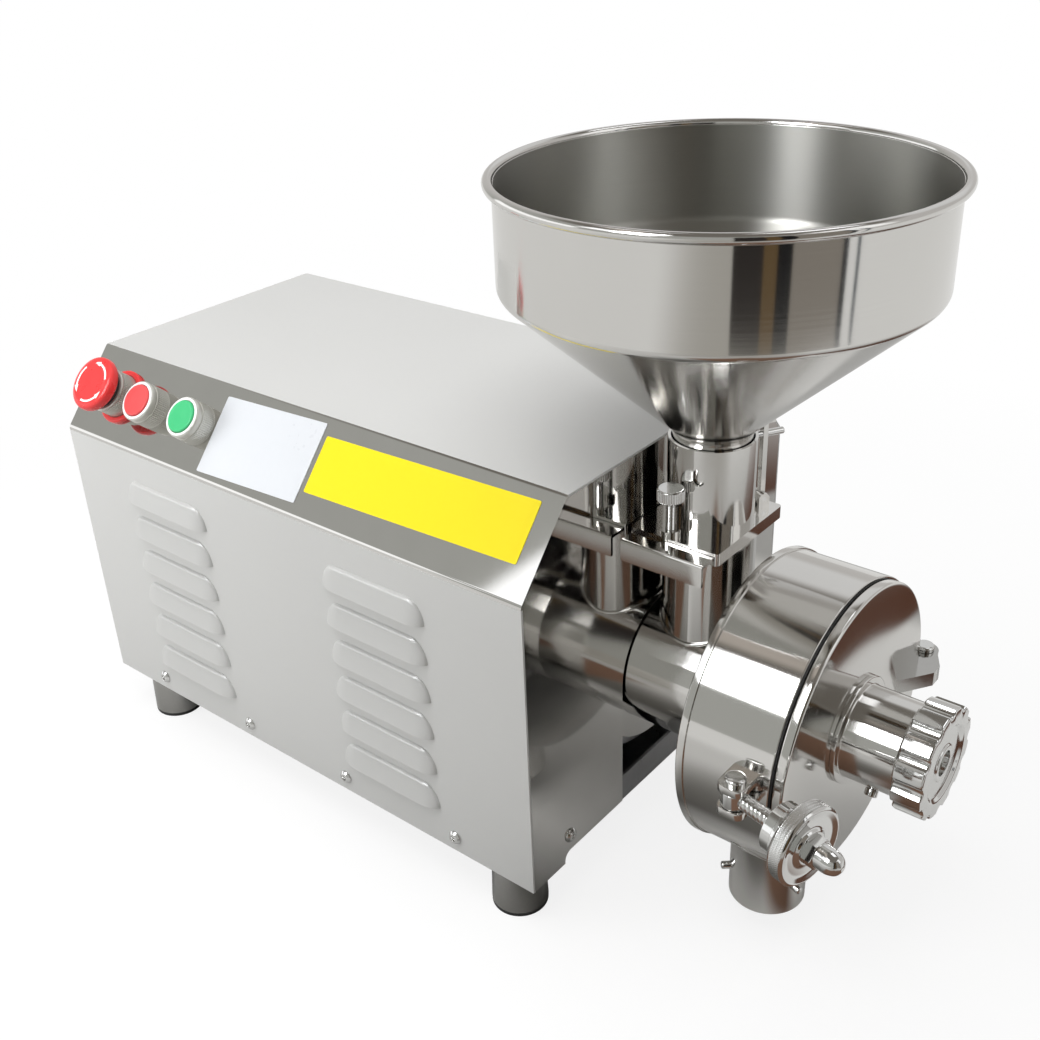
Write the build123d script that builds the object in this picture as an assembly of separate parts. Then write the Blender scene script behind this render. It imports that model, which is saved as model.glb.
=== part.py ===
from build123d import *
from math import atan2, cos, hypot, radians, sin
import os

# Electric stone mill for grain. Millimetres, +Z up, +X along the mill axis towards the knob.
# Pieces are drawn with x = 0 at the housing's left end, y = 0 on the mill axis and z = 0 on the
# ground. At the end everything moves so that the origin is the middle of the footprint.

# Housing
housing_length = 430.0
housing_width = 290.0
housing_height = 263.0
ground_gap = 34.0
slope_foot = 212.0
slope_inset = 44.5
sheet = 1.5
fold_radius = 3.0
panel_clearance = 0.15
panel_return = 14.0
panel_lift = 8.0
panel_tab = 33.0
tab_radius = 6.0
slot_half_width = 48.0

# Louvres pressed out of the front and rear walls
louvre_length = 88.0
louvre_depth = 5.5
louvre_height = 17.0
louvre_pitch = 28.2
louvre_rows = 6
louvre_lowest = 30.0
louvre_first = 106.0
louvre_spacing = 204.0

# Base tray, feet and sheet metal screws
tray_lift = 6.0
tray_sheet = 2.0
tray_rim = 20.0
tray_clearance = 0.5
foot_inset_left = 41.0
foot_inset_right = 28.0
foot_inset_y = 19.5
foot_radius = 18.7
foot_taper = 1.2
pad_radius = 17.0
pad_height = 8.0
pad_proud = 3.0
stud_radius = 4.0
screw_radius = 2.0
screw_head_radius = 4.2
screw_head_height = 2.4
screw_reach = 8.0
hole_clearance = 0.15
overshoot = 1.0
hood_screw_first = 60.0
hood_screw_spacing = 101.7
hood_screw_count = 4
hood_screw_height = 11.5
panel_screw_inset = 39.0
panel_screw_height = 20.0

# Cable gland on the left end panel
gland_inset = 50.0
gland_height = 55.0
gland_thread_radius = 8.0
gland_bore_radius = 4.5
gland_across_flats = 22.0
gland_hex_length = 7.0
gland_dome_length = 16.0
gland_dome_radius = 9.5
gland_thread_length = 10.0

# Motor, along the mill axis
mill_height = 102.0
motor_radius = 58.0
motor_wall = 4.0
motor_length = 204.0
bell_length = 22.0
cowl_length = 58.0
cowl_wall = 1.5
flange_radius = 71.0
flange_length = 12.0
stator_bore = 34.0
stator_margin = 28.0
air_gap = 0.6
fan_radius = 48.0
fan_hub_radius = 18.0
fan_width = 14.0
fan_blades = 8
blade_thickness = 3.0
saddle_width = 30.0
saddle_half = 45.0
saddle_spacing = 110.0
capacitor_radius = 18.0
capacitor_length = 80.0
shaft_radius = 12.0
bearing_radius = 20.0
bearing_width = 10.0
running_clearance = 0.05
shaft_room = 1.0

# Feed barrel and inlet
barrel_flange_radius = 62.0
barrel_flange_length = 8.0
neck_radius = 46.0
neck_bore = 38.0
neck_length = 70.0
inlet_gap = 1.0
inlet_pipe_radius = 28.5
inlet_bore = 26.5
inlet_flange_low = 209.0
inlet_flange_sheet = 3.4
inlet_plate_x = 61.0
inlet_plate_front = 41.5
inlet_plate_rear = 34.0
inlet_corner = 2.6
gate_sheet = 2.0
gate_width = 56.0
gate_front = 55.0
gate_rear = 30.0
gate_lip = 14.0
gate_bend = 1.8
slide_gap = 0.3
socket_sheet = 2.0
socket_radius = 26.5
socket_wall = 1.7
socket_height = 55.0
sight_angle = -76.0
sight_drop = 17.0
sight_width = 7.0
sight_length = 11.0

# Thumb screw that holds the gate
thumb_back = 5.5
thumb_y = -36.0
thumb_radius = 3.0
thumb_head_radius = 8.3
thumb_stand = 23.0
thumb_head_height = 8.0
thumb_boss_radius = 6.0
thumb_boss_height = 4.0

# Hopper and its spring lock
hopper_radius = 123.6
hopper_wall = 1.2
hopper_wall_height = 62.0
cone_height = 89.0
spout_radius = 24.0
spout_stand = 5.0
spout_lift = 5.0
rim_bead = 3.0
rim_overhang = 5.1
lock_angle = 57.9
lock_radius = 34.0
lock_pivot_rise = 7.0
lock_pin_drop = 6.0
lock_rise = 9.0
lock_width = 4.5
lock_thickness = 3.0
lock_block = 7.0
lock_pin_radius = 2.2
lock_hole_radius = 3.2
lock_pin_handle = 47.0
lock_ear = 2.2
lock_pivot_radius = 1.5
lock_eye_radius = 3.5
lock_tip_gap = 0.4

# Grinding drum and outlet
drum_radius = 94.0
drum_length = 60.0
drum_wall = 4.0
drum_edge = 1.2
drum_back_thickness = 5.0
weld_gap = 0.1
outlet_ahead = 35.5
outlet_y = -38.0
outlet_radius = 24.0
outlet_wall = 2.0
outlet_step = 0.6
outlet_socket = 24.0
outlet_low = 18.0
outlet_screw_rise = 20.0
outlet_screw_radius = 2.5
outlet_screw_reach = 6.0
outlet_screw_angles = (-140.0, -20.0, 100.0)

# Stones
disc_side = 12.0
disc_thickness = 6.0
disc_room = 3.0
disc_window_radius = 5.0
disc_window_shift = 1.0
disc_window_count = 6
stone_inset = 2.0
stone_bore = 30.0
running_stone_thickness = 16.0
stone_gap = 0.6
fixed_stone_thickness = 17.4
carrier_inset = 6.0
carrier_thickness = 5.0
carrier_sleeve = 18.0
shaft_nut_flats = 30.0
shaft_nut_length = 8.0
auger_core = 15.0
auger_clearance = 0.8
auger_pitch = 32.0
auger_flight = 5.0

# Chamber cover, hub and adjusting knob
seal_thickness = 0.9
seal_inset = 0.5
seal_width = 2.5
cover_gap = 1.2
cover_inset = 1.5
cover_thickness = 6.8
cover_round = 2.2
hub_radius = 29.5
hub_length = 37.0
hub_end_wall = 5.0
hub_ring_radius = 34.5
hub_ring_length = 3.0
sliding_clearance = 0.04
sleeve_room = 6.5
slot_length = 10.5
hub_screw_inset = 16.0
hub_screw_angle = 236.0
hub_screw_radius = 2.5
hub_screw_head = 4.0
hub_screw_proud = 5.0
hub_screw_tip = 3.0
spindle_radius = 8.0
thrust_radius = 11.0
thrust_length = 2.5
knob_gap = 0.5
knob_radius = 35.2
knob_length = 19.0
knob_lobes = 12
knob_scallop = 5.6
knob_scallop_depth = 3.0
knob_round = 1.4
knob_recess_radius = 23.0
knob_recess = 2.0

# Cover hinge at the rear
hinge_inset = 1.0
hinge_stand = 8.0
hinge_pin_radius = 4.0
hinge_boss = 9.0
arm_low = -9.0
arm_height = 10.0
arm_length = 44.0
arm_slope = 22.0
arm_reach = 15.0
lug_length = 25.0
lug_height = 10.0
pin_head_radius = 6.2
pin_head_height = 3.5
pin_tail = 2.0

# Swing bolt latch at the front; the bolt rests swung out of the cover's way
latch_inset = 14.5
latch_stand = 11.0
latch_rise = 9.0
latch_slack_angle = 13.0
bolt_radius = 5.0
bolt_length = 60.0
eye_radius = 8.0
eye_height = 10.0
latch_pin_radius = 4.0
latch_lug = 5.0
latch_lug_radius = 8.5
latch_lug_gap = 0.4
washer_start = 32.0
washer_length = 11.7
washer_radius = 17.0
washer_clearance = 0.3
nut_radius = 24.0
nut_length = 11.0
cap_flats = 16.0
cap_hex_length = 6.5
cap_radius = 7.3
cap_length = 20.5
cap_bore = 14.5

# Buttons on the sloping panel
button_hole = 11.2
button_neck = 11.0
neck_depth = 24.0
estop_x = 44.0
estop_rise = 34.0
estop_ring_radius = 20.0
estop_ring_height = 3.5
estop_barrel_radius = 16.0
estop_barrel_height = 17.0
estop_plunger_radius = 13.0
estop_press = 5.0
estop_head_radius = 20.0
estop_head_top = 31.0
estop_head_edge = 7.0
stop_x = 80.5
start_x = 130.0
button_rise = 34.0
bezel_radius = 14.8
bezel_height = 17.0
cap_button_radius = 11.5
cap_button_top = 18.5
cap_button_press = 3.5
button_clearance = 0.3
block_width = 26.0
block_length = 30.0
block_depth = 22.0

# Places worked out from the sizes above
housing_top = ground_gap + housing_height
slope_low = ground_gap + slope_foot
slope_rise = housing_height - slope_foot
slope_length = hypot(slope_inset, slope_rise)
mill_z = ground_gap + mill_height
tray_low = ground_gap + tray_lift
tray_top = tray_low + tray_sheet
tray_half = housing_width / 2 - 2 * sheet - 2 * panel_clearance
panel_screw_y = housing_width / 2 - panel_screw_inset
gland_y = housing_width / 2 - gland_inset
drum_start = housing_length + neck_length
inlet_x = housing_length + inlet_gap + inlet_plate_x / 2
thumb_x = inlet_x - thumb_back
outlet_x = drum_start + outlet_ahead
outlet_bore = outlet_radius - outlet_wall
drum_end = drum_start + drum_length
back_end = drum_start + drum_back_thickness
drum_bore = drum_radius - drum_wall
cover_radius = drum_radius - cover_inset
disc_radius = drum_bore - disc_side
stone_radius = disc_radius - stone_inset
carrier_radius = stone_radius - carrier_inset
cover_back = drum_end + cover_gap
cover_face = cover_back + cover_thickness
hub_end = cover_face + hub_length
sleeve_end = hub_end - hub_end_wall - sleeve_room
hub_screw_x = hub_end - hub_screw_inset
hinge_x = cover_face - hinge_inset
hinge_y = drum_radius + hinge_stand
arm_root = hinge_y - arm_length
arm_crest = hinge_y - arm_slope
lug_start = drum_end - lug_length
latch_x = drum_end - latch_inset
latch_y = -drum_radius - latch_stand
knob_back = hub_end + knob_gap
knob_face = knob_back + knob_length
barrel_start = housing_length - panel_return
motor_front = barrel_start - flange_length
motor_rear = motor_front - motor_length
bell_rear = motor_rear - bell_length
cowl_rear = bell_rear - cowl_length
gate_low = ground_gap + inlet_flange_low + inlet_flange_sheet + slide_gap
plate_low = gate_low + gate_sheet + slide_gap
plate_top = plate_low + socket_sheet
socket_top = plate_low + socket_height
spout_low = plate_top + spout_lift
spout_top = socket_top + spout_stand
cone_top = spout_top + cone_height
hopper_top = cone_top + hopper_wall_height
lock_pivot_z = plate_low + lock_pivot_rise
lock_pin_z = socket_top - lock_pin_drop
lock_top = socket_top + lock_rise
thumb_head_low = plate_top + thumb_stand
disc_start = back_end + disc_room
disc_end = disc_start + disc_thickness
running_face = disc_end + running_stone_thickness
fixed_face = running_face + stone_gap
carrier_start = fixed_face + fixed_stone_thickness
carrier_end = carrier_start + carrier_thickness
latch_z = mill_z + latch_rise


def mill_turned(profile):
    """Solid of revolution about the mill axis from (x, radius) corners."""
    face = make_face(Polyline(*[(x, 0, r) for x, r in profile], close=True))
    return Pos(0, 0, mill_z) * revolve(face, Axis.X, 360)


def mill_ring(outer, inner, start, end):
    """Tube on the mill axis between two stations."""
    return mill_turned([(start, inner), (end, inner), (end, outer), (start, outer)])


def upright_turned(profile, x=0.0, y=0.0):
    """Solid of revolution about a vertical axis from (radius, z) corners."""
    face = make_face(Polyline(*[(r, 0, z) for r, z in profile], close=True))
    return Pos(x, y, 0) * revolve(face, Axis.Z, 360)


def post(radius, low, high, x=0.0, y=0.0):
    """Upright round bar between two heights."""
    return Pos(x, y, (low + high) / 2) * Cylinder(radius, high - low)


def bar_x(radius, start, end, y=0.0, z=0.0):
    """Round bar along X between two stations."""
    return Pos((start + end) / 2, y, z) * Rot(0, 90, 0) * Cylinder(radius, end - start)


def bar_y(radius, start, end, x=0.0, z=0.0):
    """Round bar along Y between two stations."""
    return Pos(x, (start + end) / 2, z) * Rot(90, 0, 0) * Cylinder(radius, end - start)


def block(x0, x1, y0, y1, z0, z1):
    """Box between two corners."""
    return Pos((x0 + x1) / 2, (y0 + y1) / 2, (z0 + z1) / 2) * Box(x1 - x0, y1 - y0, z1 - z0)


def group(solids):
    """Several like solids in one node."""
    return Compound(children=list(solids))


def hood_outline(inset, low):
    """Housing cross-section moved inwards by inset, down to the height low."""
    half = housing_width / 2 - inset
    shoulder = slope_low - inset * (slope_length - slope_rise) / slope_inset
    brow = housing_width / 2 - slope_inset - inset * (slope_length - slope_inset) / slope_rise
    top = housing_top - inset
    corners = [(-half, low), (-half, shoulder), (-brow, top), (brow, top), (half, shoulder), (half, low)]
    outline = make_face(Polyline(*corners, close=True))
    bends = outline.vertices().sort_by(Axis.Y)[2:]
    return Plane.YZ * fillet(bends, max(fold_radius - inset, sheet / 3))


def louvre_profile(depth, height, back):
    """Arc that stands upright at the open lower edge and bends back into the middle of the wall."""
    bulge = TangentArc((-depth, 0), (sheet / 2, height), tangent=(0, 1))
    rest = Polyline((-depth, 0), (back, 0), (back, height), (sheet / 2, height))
    return Plane.YZ * make_face([bulge, rest])


def louvre_form():
    """Outside of one louvre: a straight hood with a rounded scoop at each end."""
    reach = louvre_depth + sheet / 2
    straight = louvre_length - 2 * reach
    back = sheet * 3 / 4
    hood = Pos(-straight / 2, 0, 0) * extrude(louvre_profile(louvre_depth, louvre_height, back), straight)
    bulge = TangentArc((reach, 0), (0, louvre_height), tangent=(0, 1))
    scoop_face = Plane.XZ * make_face([bulge, Polyline((0, louvre_height), (0, 0), (reach, 0))])
    scoop = revolve(scoop_face, Axis.Z, 360)
    form = hood + Pos(-straight / 2, sheet / 2, 0) * scoop + Pos(straight / 2, sheet / 2, 0) * scoop
    room = louvre_length
    return form & block(-room, room, -room, back, -room, room)


def louvre_opening():
    """Inside of one louvre, through the wall and out at its lower edge."""
    straight = louvre_length - 2 * louvre_depth - sheet
    profile = louvre_profile(louvre_depth - sheet, louvre_height - sheet, 2 * sheet)
    return Pos(-straight / 2, 0, -sheet / 2) * extrude(profile, straight)


def louvre_places():
    """Places of the louvres on the front wall, and turned about for the rear wall."""
    for x in (louvre_first, louvre_first + louvre_spacing):
        for row in range(louvre_rows):
            place = Pos(x, -housing_width / 2, ground_gap + louvre_lowest + row * louvre_pitch)
            yield place
            yield Location((x, housing_width / 2, place.position.Z), (0, 0, 180))


def slope_place(x, rise):
    """Place on the front sloping panel: +Z stands off the panel, +X runs along the housing."""
    along = rise / slope_length
    origin = (x, -housing_width / 2 + along * slope_inset, slope_low + along * slope_rise)
    return Plane(origin=origin, x_dir=(1, 0, 0), z_dir=(0, -slope_rise, slope_inset)).location


def button_places():
    """Place along the panel and height up the slope of the emergency stop and the two buttons."""
    return (estop_x, estop_rise), (stop_x, button_rise), (start_x, button_rise)


def hood_screw_places():
    """Points on the outside of the front and rear walls where the cover is screwed on."""
    for index in range(hood_screw_count):
        for side in (-1, 1):
            yield hood_screw_first + index * hood_screw_spacing, side


def housing_cover():
    """Folded cover: two walls, two sloping panels and a top, with pressed louvres."""
    shell = extrude(hood_outline(0, ground_gap), housing_length)
    shell -= extrude(hood_outline(sheet, ground_gap - sheet), housing_length)
    form = louvre_form()
    opening = louvre_opening()
    shell = shell + [place * form for place in louvre_places()]
    shell = shell - [place * opening for place in louvre_places()]
    for x, rise in button_places():
        shell -= slope_place(x, rise) * Cylinder(button_hole, 4 * sheet)
    for x, side in hood_screw_places():
        wall = side * housing_width / 2
        shell -= bar_y(screw_radius + hole_clearance, wall - 2 * sheet, wall + 2 * sheet, x, hood_screw_z())
    return shell


def hood_screw_z():
    """Height of the cover screws, at the middle of the tray's rim."""
    return ground_gap + hood_screw_height


def end_panel():
    """End panel standing at x = 0 with its outside towards -X and its return folded inwards."""
    inset = sheet + panel_clearance
    panel = extrude(hood_outline(inset, ground_gap), panel_return)
    inner = extrude(hood_outline(inset + sheet, ground_gap - sheet), panel_return)
    panel -= Pos(sheet, 0, 0) * inner
    half = housing_width / 2 - panel_tab
    relief = block(-sheet, panel_return + sheet, -half, half, ground_gap - panel_lift,
                   ground_gap + panel_lift)
    panel -= fillet(relief.edges().filter_by(Axis.X).group_by(Axis.Z)[-1], tab_radius)
    for side in (-1, 1):
        hole = bar_x(screw_radius + hole_clearance, -sheet, 2 * sheet, side * panel_screw_y,
                     panel_screw_z())
        panel -= hole
    return panel


def panel_screw_z():
    """Height of the end panel screws."""
    return ground_gap + panel_screw_height


def left_end_panel():
    """Plain end panel with the hole for the cable gland."""
    hole = bar_x(gland_thread_radius + hole_clearance, -sheet, 2 * sheet, gland_y,
                 ground_gap + gland_height)
    return end_panel() - hole


def right_end_panel():
    """End panel with a slot, open at the bottom, that drops over the neck."""
    panel = Pos(housing_length, 0, 0) * Rot(0, 0, 180) * end_panel()
    inside = housing_length - panel_return - sheet
    slot = mill_ring(slot_half_width, 0, inside, housing_length + sheet)
    slot += block(inside, housing_length + sheet, -slot_half_width, slot_half_width, ground_gap - sheet,
                  mill_z)
    return panel - slot


def base_tray():
    """Tray with a rim all round, screwed inside the cover and standing on the feet."""
    start = sheet + tray_clearance
    end = housing_length - start
    tray = block(start, end, -tray_half, tray_half, tray_low, tray_low + tray_rim)
    tray -= block(start + tray_sheet, end - tray_sheet, -tray_half + tray_sheet, tray_half - tray_sheet,
                  tray_top, tray_low + 2 * tray_rim)
    for x, side in hood_screw_places():
        wall = side * tray_half
        tray -= bar_y(screw_radius + hole_clearance, wall - 2 * tray_sheet, wall + tray_sheet, x,
                      hood_screw_z())
    for x in (start, end):
        for side in (-1, 1):
            tray -= bar_x(screw_radius + hole_clearance, x - 2 * tray_sheet, x + 2 * tray_sheet,
                          side * panel_screw_y, panel_screw_z())
    for x, y in foot_places():
        tray -= post(stud_radius + hole_clearance, tray_low - tray_sheet, tray_top + tray_sheet, x, y)
    return tray


def foot_places():
    """Centres of the four feet."""
    for x in (foot_inset_left, housing_length - foot_inset_right):
        for side in (-1, 1):
            yield x, side * (housing_width / 2 - foot_inset_y)


def foot_cups():
    """Chromed cups, a little wider at the foot, each with a stud through the tray."""
    top = foot_radius - foot_taper
    stud_top = tray_top + 3 * tray_sheet
    recess = pad_radius + hole_clearance
    profile = [(0, pad_height), (recess, pad_height), (recess, pad_proud), (foot_radius, pad_proud),
               (top, tray_low), (stud_radius, tray_low), (stud_radius, stud_top), (0, stud_top)]
    return group(upright_turned(profile, x, y) for x, y in foot_places())


def foot_pads():
    """Rubber pads in the cups, standing out at the bottom."""
    return group(post(pad_radius, 0, pad_height, x, y) for x, y in foot_places())


def pan_screw():
    """Pan head screw whose head stands on the plane z = 0."""
    head = post(screw_head_radius, 0, screw_head_height)
    rim = head.edges().filter_by(GeomType.CIRCLE).sort_by(Axis.Z)[-1]
    return fillet(rim, screw_head_height / 2) + post(screw_radius, -screw_reach, 0)


def housing_screws():
    """Pan head screws that hold the cover and the end panels to the tray."""
    places = [Location((x, side * housing_width / 2, hood_screw_z()), (-side * 90, 0, 0))
              for x, side in hood_screw_places()]
    for side in (-1, 1):
        places.append(Location((0, side * panel_screw_y, panel_screw_z()), (0, -90, 0)))
        places.append(Location((housing_length, side * panel_screw_y, panel_screw_z()), (0, 90, 0)))
    return group(place * pan_screw() for place in places)


def hexagon_x(flats, start, end, y, z):
    """Hexagon bar along X between two stations."""
    outline = Plane.YZ * RegularPolygon(flats / 2, 6, major_radius=False)
    return Pos(start, y, z) * extrude(outline, end - start)


def cable_gland():
    """Gland for the mains lead: hexagon, domed nut and thread, bored through."""
    y, z = gland_y, ground_gap + gland_height
    hexagon = hexagon_x(gland_across_flats, -gland_hex_length, 0, y, z)
    tip = -gland_hex_length - gland_dome_length
    dome = bar_x(gland_dome_radius, tip, -gland_hex_length, y, z)
    dome = fillet(dome.edges().filter_by(GeomType.CIRCLE).sort_by(Axis.X)[0], gland_bore_radius / 1.5)
    thread = bar_x(gland_thread_radius, 0, gland_thread_length, y, z)
    bore = bar_x(gland_bore_radius, tip - overshoot, gland_thread_length + overshoot, y, z)
    return hexagon + dome + thread - bore


def motor_shell():
    """Motor barrel, open at both ends."""
    return mill_ring(motor_radius, motor_radius - motor_wall, motor_rear, motor_front)


def motor_front_flange():
    """Machined flange that closes the motor and carries the front bearing and the barrel."""
    bore = shaft_radius + shaft_room
    seat_end = motor_front + bearing_width
    return mill_turned([(motor_front, bearing_radius), (seat_end, bearing_radius), (seat_end, bore),
                        (barrel_start, bore), (barrel_start, flange_radius), (motor_front, flange_radius)])


def motor_rear_bell():
    """End bell with the seat of the rear bearing."""
    inner = bell_rear + bearing_width
    return mill_turned([(bell_rear, bearing_radius), (inner, bearing_radius),
                        (inner, bearing_radius + motor_wall),
                        (motor_rear, bearing_radius + motor_wall), (motor_rear, motor_radius),
                        (bell_rear, motor_radius)])


def fan_cowl():
    """Sheet cowl over the fan, closed at the rear."""
    return mill_turned([(cowl_rear, 0), (cowl_rear + cowl_wall, 0),
                        (cowl_rear + cowl_wall, motor_radius - cowl_wall),
                        (bell_rear, motor_radius - cowl_wall), (bell_rear, motor_radius),
                        (cowl_rear, motor_radius)])


def stator():
    """Wound core inside the motor barrel."""
    return mill_ring(motor_radius - motor_wall, stator_bore, motor_rear + stator_margin,
                     motor_front - stator_margin)


def motor_saddles():
    """Two saddles between the motor barrel and the tray."""
    middle = (motor_rear + motor_front) / 2
    barrel = mill_ring(motor_radius, 0, motor_rear, motor_front)
    saddles = []
    for side in (-1, 1):
        x = middle + side * saddle_spacing / 2
        foot = block(x - saddle_width / 2, x + saddle_width / 2, -saddle_half, saddle_half, tray_top,
                     mill_z - motor_radius / 2)
        saddles.append(foot - barrel)
    return group(saddles)


def shaft_bearings():
    """Ball bearings at the two ends of the motor, drawn as plain rings."""
    bore = shaft_radius + running_clearance
    return group(mill_ring(bearing_radius, bore, x, x + bearing_width) for x in (bell_rear, motor_front))


def run_capacitor():
    """Motor capacitor lying on the tray beside the motor."""
    y = tray_half - tray_sheet - capacitor_radius
    can = bar_x(capacitor_radius, motor_rear, motor_rear + capacitor_length, y, tray_top + capacitor_radius)
    return fillet(can.edges().filter_by(GeomType.CIRCLE), capacitor_radius / 9)


def drive_shaft():
    """One shaft through the motor, the auger and the running stone."""
    fan_back = cowl_rear + cowl_wall + fan_width
    return bar_x(shaft_radius, fan_back, disc_end + shaft_nut_length, 0, mill_z)


def rotor_core():
    """Rotor on the shaft inside the stator."""
    return mill_ring(stator_bore - air_gap, shaft_radius, motor_rear + stator_margin,
                     motor_front - stator_margin)


def cooling_fan():
    """Fan with straight blades on the rear end of the shaft."""
    start = cowl_rear + cowl_wall + 1.5 * fan_width
    fan = mill_ring(fan_hub_radius, shaft_radius, start, start + fan_width)
    for index in range(fan_blades):
        blade = block(start, start + fan_width, -blade_thickness / 2, blade_thickness / 2,
                      fan_hub_radius - blade_thickness,
                      fan_radius)
        fan += Pos(0, 0, mill_z) * Rot(index * 360 / fan_blades, 0, 0) * blade
    return fan


def feed_auger():
    """Screw on the shaft that pushes the grain from under the inlet to the stones."""
    start = barrel_start + barrel_flange_length + slide_gap
    length = disc_start - slide_gap - start
    core = mill_ring(auger_core, shaft_radius, start, start + length)
    tip = neck_bore - auger_clearance
    path = Helix(auger_pitch, length - auger_flight, (auger_core + tip) / 2)
    section = Plane(origin=path @ 0, x_dir=(path @ 0), z_dir=path % 0)
    flight = sweep(section * Rectangle(tip - auger_core + 2 * overshoot, auger_flight), path, is_frenet=True)
    flight = Pos(start + auger_flight / 2, 0, mill_z) * Rot(0, 90, 0) * flight
    inside = mill_ring(tip, shaft_radius, start, start + length)
    return core + (flight & inside)


def stone_disc():
    """Steel disc keyed to the shaft, with windows for the grain, that carries the running stone."""
    disc = mill_ring(disc_radius, shaft_radius, disc_start, disc_end)
    middle = (shaft_radius + stone_bore) / 2 + disc_window_shift
    for index in range(disc_window_count):
        angle = radians(index * 360 / disc_window_count)
        window = bar_x(disc_window_radius, disc_start - overshoot, disc_end + overshoot,
                       middle * cos(angle), middle * sin(angle))
        disc -= Pos(0, 0, mill_z) * window
    return disc


def running_stone():
    """Millstone ring on the disc."""
    return mill_ring(stone_radius, stone_bore, disc_end, running_face)


def stone_nut():
    """Nut on the end of the shaft."""
    nut = hexagon_x(shaft_nut_flats, disc_end, disc_end + shaft_nut_length, 0, mill_z)
    return nut - mill_ring(shaft_radius, 0, disc_end - overshoot, disc_end + shaft_nut_length + overshoot)


def feed_barrel():
    """Neck between motor and drum, with the inlet pipe standing on it."""
    bore_start = barrel_start + barrel_flange_length
    seat = shaft_radius + shaft_room
    barrel = mill_turned([(barrel_start, seat), (bore_start, seat), (bore_start, neck_bore),
                          (drum_start, neck_bore),
                          (drum_start, neck_radius), (bore_start, neck_radius),
                          (bore_start, barrel_flange_radius), (barrel_start, barrel_flange_radius)])
    pipe_top = ground_gap + inlet_flange_low
    pipe = post(inlet_pipe_radius, mill_z, pipe_top, inlet_x)
    pipe -= mill_ring(neck_bore, 0, bore_start, drum_start)
    return barrel + pipe - post(inlet_bore, mill_z, pipe_top + overshoot, inlet_x)


def inlet_plate(low, high):
    """Rectangular plate of the inlet, with round corners."""
    half = inlet_plate_x / 2
    plate = block(inlet_x - half, inlet_x + half, -inlet_plate_front, inlet_plate_rear, low, high)
    return fillet(plate.edges().filter_by(Axis.Z), inlet_corner)


def inlet_flange():
    """Flange on the inlet pipe, with a guide strip along each side of the gate."""
    low = ground_gap + inlet_flange_low
    floor = low + inlet_flange_sheet
    guide = gate_width / 2 + slide_gap
    flange = inlet_plate(low, plate_low)
    flange -= block(inlet_x - guide, inlet_x + guide, -inlet_plate_front - overshoot,
                    inlet_plate_rear + overshoot,
                    floor, plate_low + overshoot)
    return flange - post(inlet_bore, low - overshoot, floor + overshoot, inlet_x)


def lock_place():
    """Place on the socket's axis, turned so that +X points at the hopper lock."""
    return Location((inlet_x, 0, 0), (0, 0, lock_angle))


def hopper_socket():
    """Plate over the gate with the tube that takes the hopper's spout, a screw boss and lock ears."""
    socket = inlet_plate(plate_low, plate_top) + post(socket_radius, plate_low, socket_top, inlet_x)
    socket += post(thumb_boss_radius, plate_low, plate_top + thumb_boss_height, thumb_x, thumb_y)
    inner = lock_width / 2 + slide_gap
    for side in (-1, 1):
        low, high = sorted((side * inner, side * (inner + lock_ear)))
        ear = block(lock_radius - lock_eye_radius, lock_radius + lock_eye_radius, low, high,
                    plate_low, lock_pivot_z)
        ear += bar_y(lock_eye_radius, low, high, lock_radius, lock_pivot_z)
        socket += lock_place() * ear
    socket -= lock_place() * bar_y(lock_pivot_radius, -2 * inner, 2 * inner, lock_radius, lock_pivot_z)
    socket -= lock_place() * bar_x(lock_hole_radius, spout_radius - socket_wall,
                                   lock_radius - 2 * socket_wall, 0, lock_pin_z)
    socket -= post(thumb_radius + running_clearance, plate_low - socket_sheet,
                   plate_top + 2 * thumb_boss_height, thumb_x, thumb_y)
    sight = Plane.YZ * SlotOverall(sight_length, sight_width, rotation=90)
    sight = extrude(sight, 2 * socket_radius)
    socket -= Location((inlet_x, 0, socket_top - sight_drop), (0, 0, sight_angle)) * sight
    return socket - post(socket_radius - socket_wall, plate_low - socket_sheet, socket_top + socket_sheet,
                         inlet_x)


def feed_gate():
    """Slide plate that shuts the inlet, with a finger lip bent down at the front."""
    half = gate_width / 2
    high = gate_low + gate_sheet
    gate = block(inlet_x - half, inlet_x + half, -gate_front, gate_rear, gate_low, high)
    gate += block(inlet_x - half, inlet_x + half, -gate_front, -gate_front + gate_sheet, high - gate_lip,
                  high)
    return fillet(gate.edges().filter_by(Axis.X).group_by(Axis.Y)[0].sort_by(Axis.Z)[-1], gate_bend)


def thumb_screw():
    """Knurled screw that clamps the gate."""
    head = post(thumb_head_radius, thumb_head_low, thumb_head_low + thumb_head_height, thumb_x, thumb_y)
    head = chamfer(head.edges().filter_by(GeomType.CIRCLE), thumb_head_height / 10)
    return head + post(thumb_radius, plate_low, thumb_head_low, thumb_x, thumb_y)


def hopper():
    """Spun funnel: spout, cone, upright wall and rolled rim."""
    bead_z = hopper_top - rim_bead
    slant = atan2(cone_height, hopper_radius - spout_radius)
    step = hopper_wall * (1 - sin(slant)) / cos(slant)
    inner_spout = spout_radius - hopper_wall
    inner_wall = hopper_radius - hopper_wall
    shell = upright_turned([(spout_radius, spout_low), (spout_radius, spout_top), (hopper_radius, cone_top),
                            (hopper_radius, bead_z), (inner_wall, bead_z), (inner_wall, cone_top + step),
                            (inner_spout, spout_top + step), (inner_spout, spout_low)])
    bead = Pos(0, 0, bead_z) * Torus(hopper_radius + rim_overhang - rim_bead, rim_bead)
    return Pos(inlet_x, 0, 0) * (shell + bead)


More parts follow.
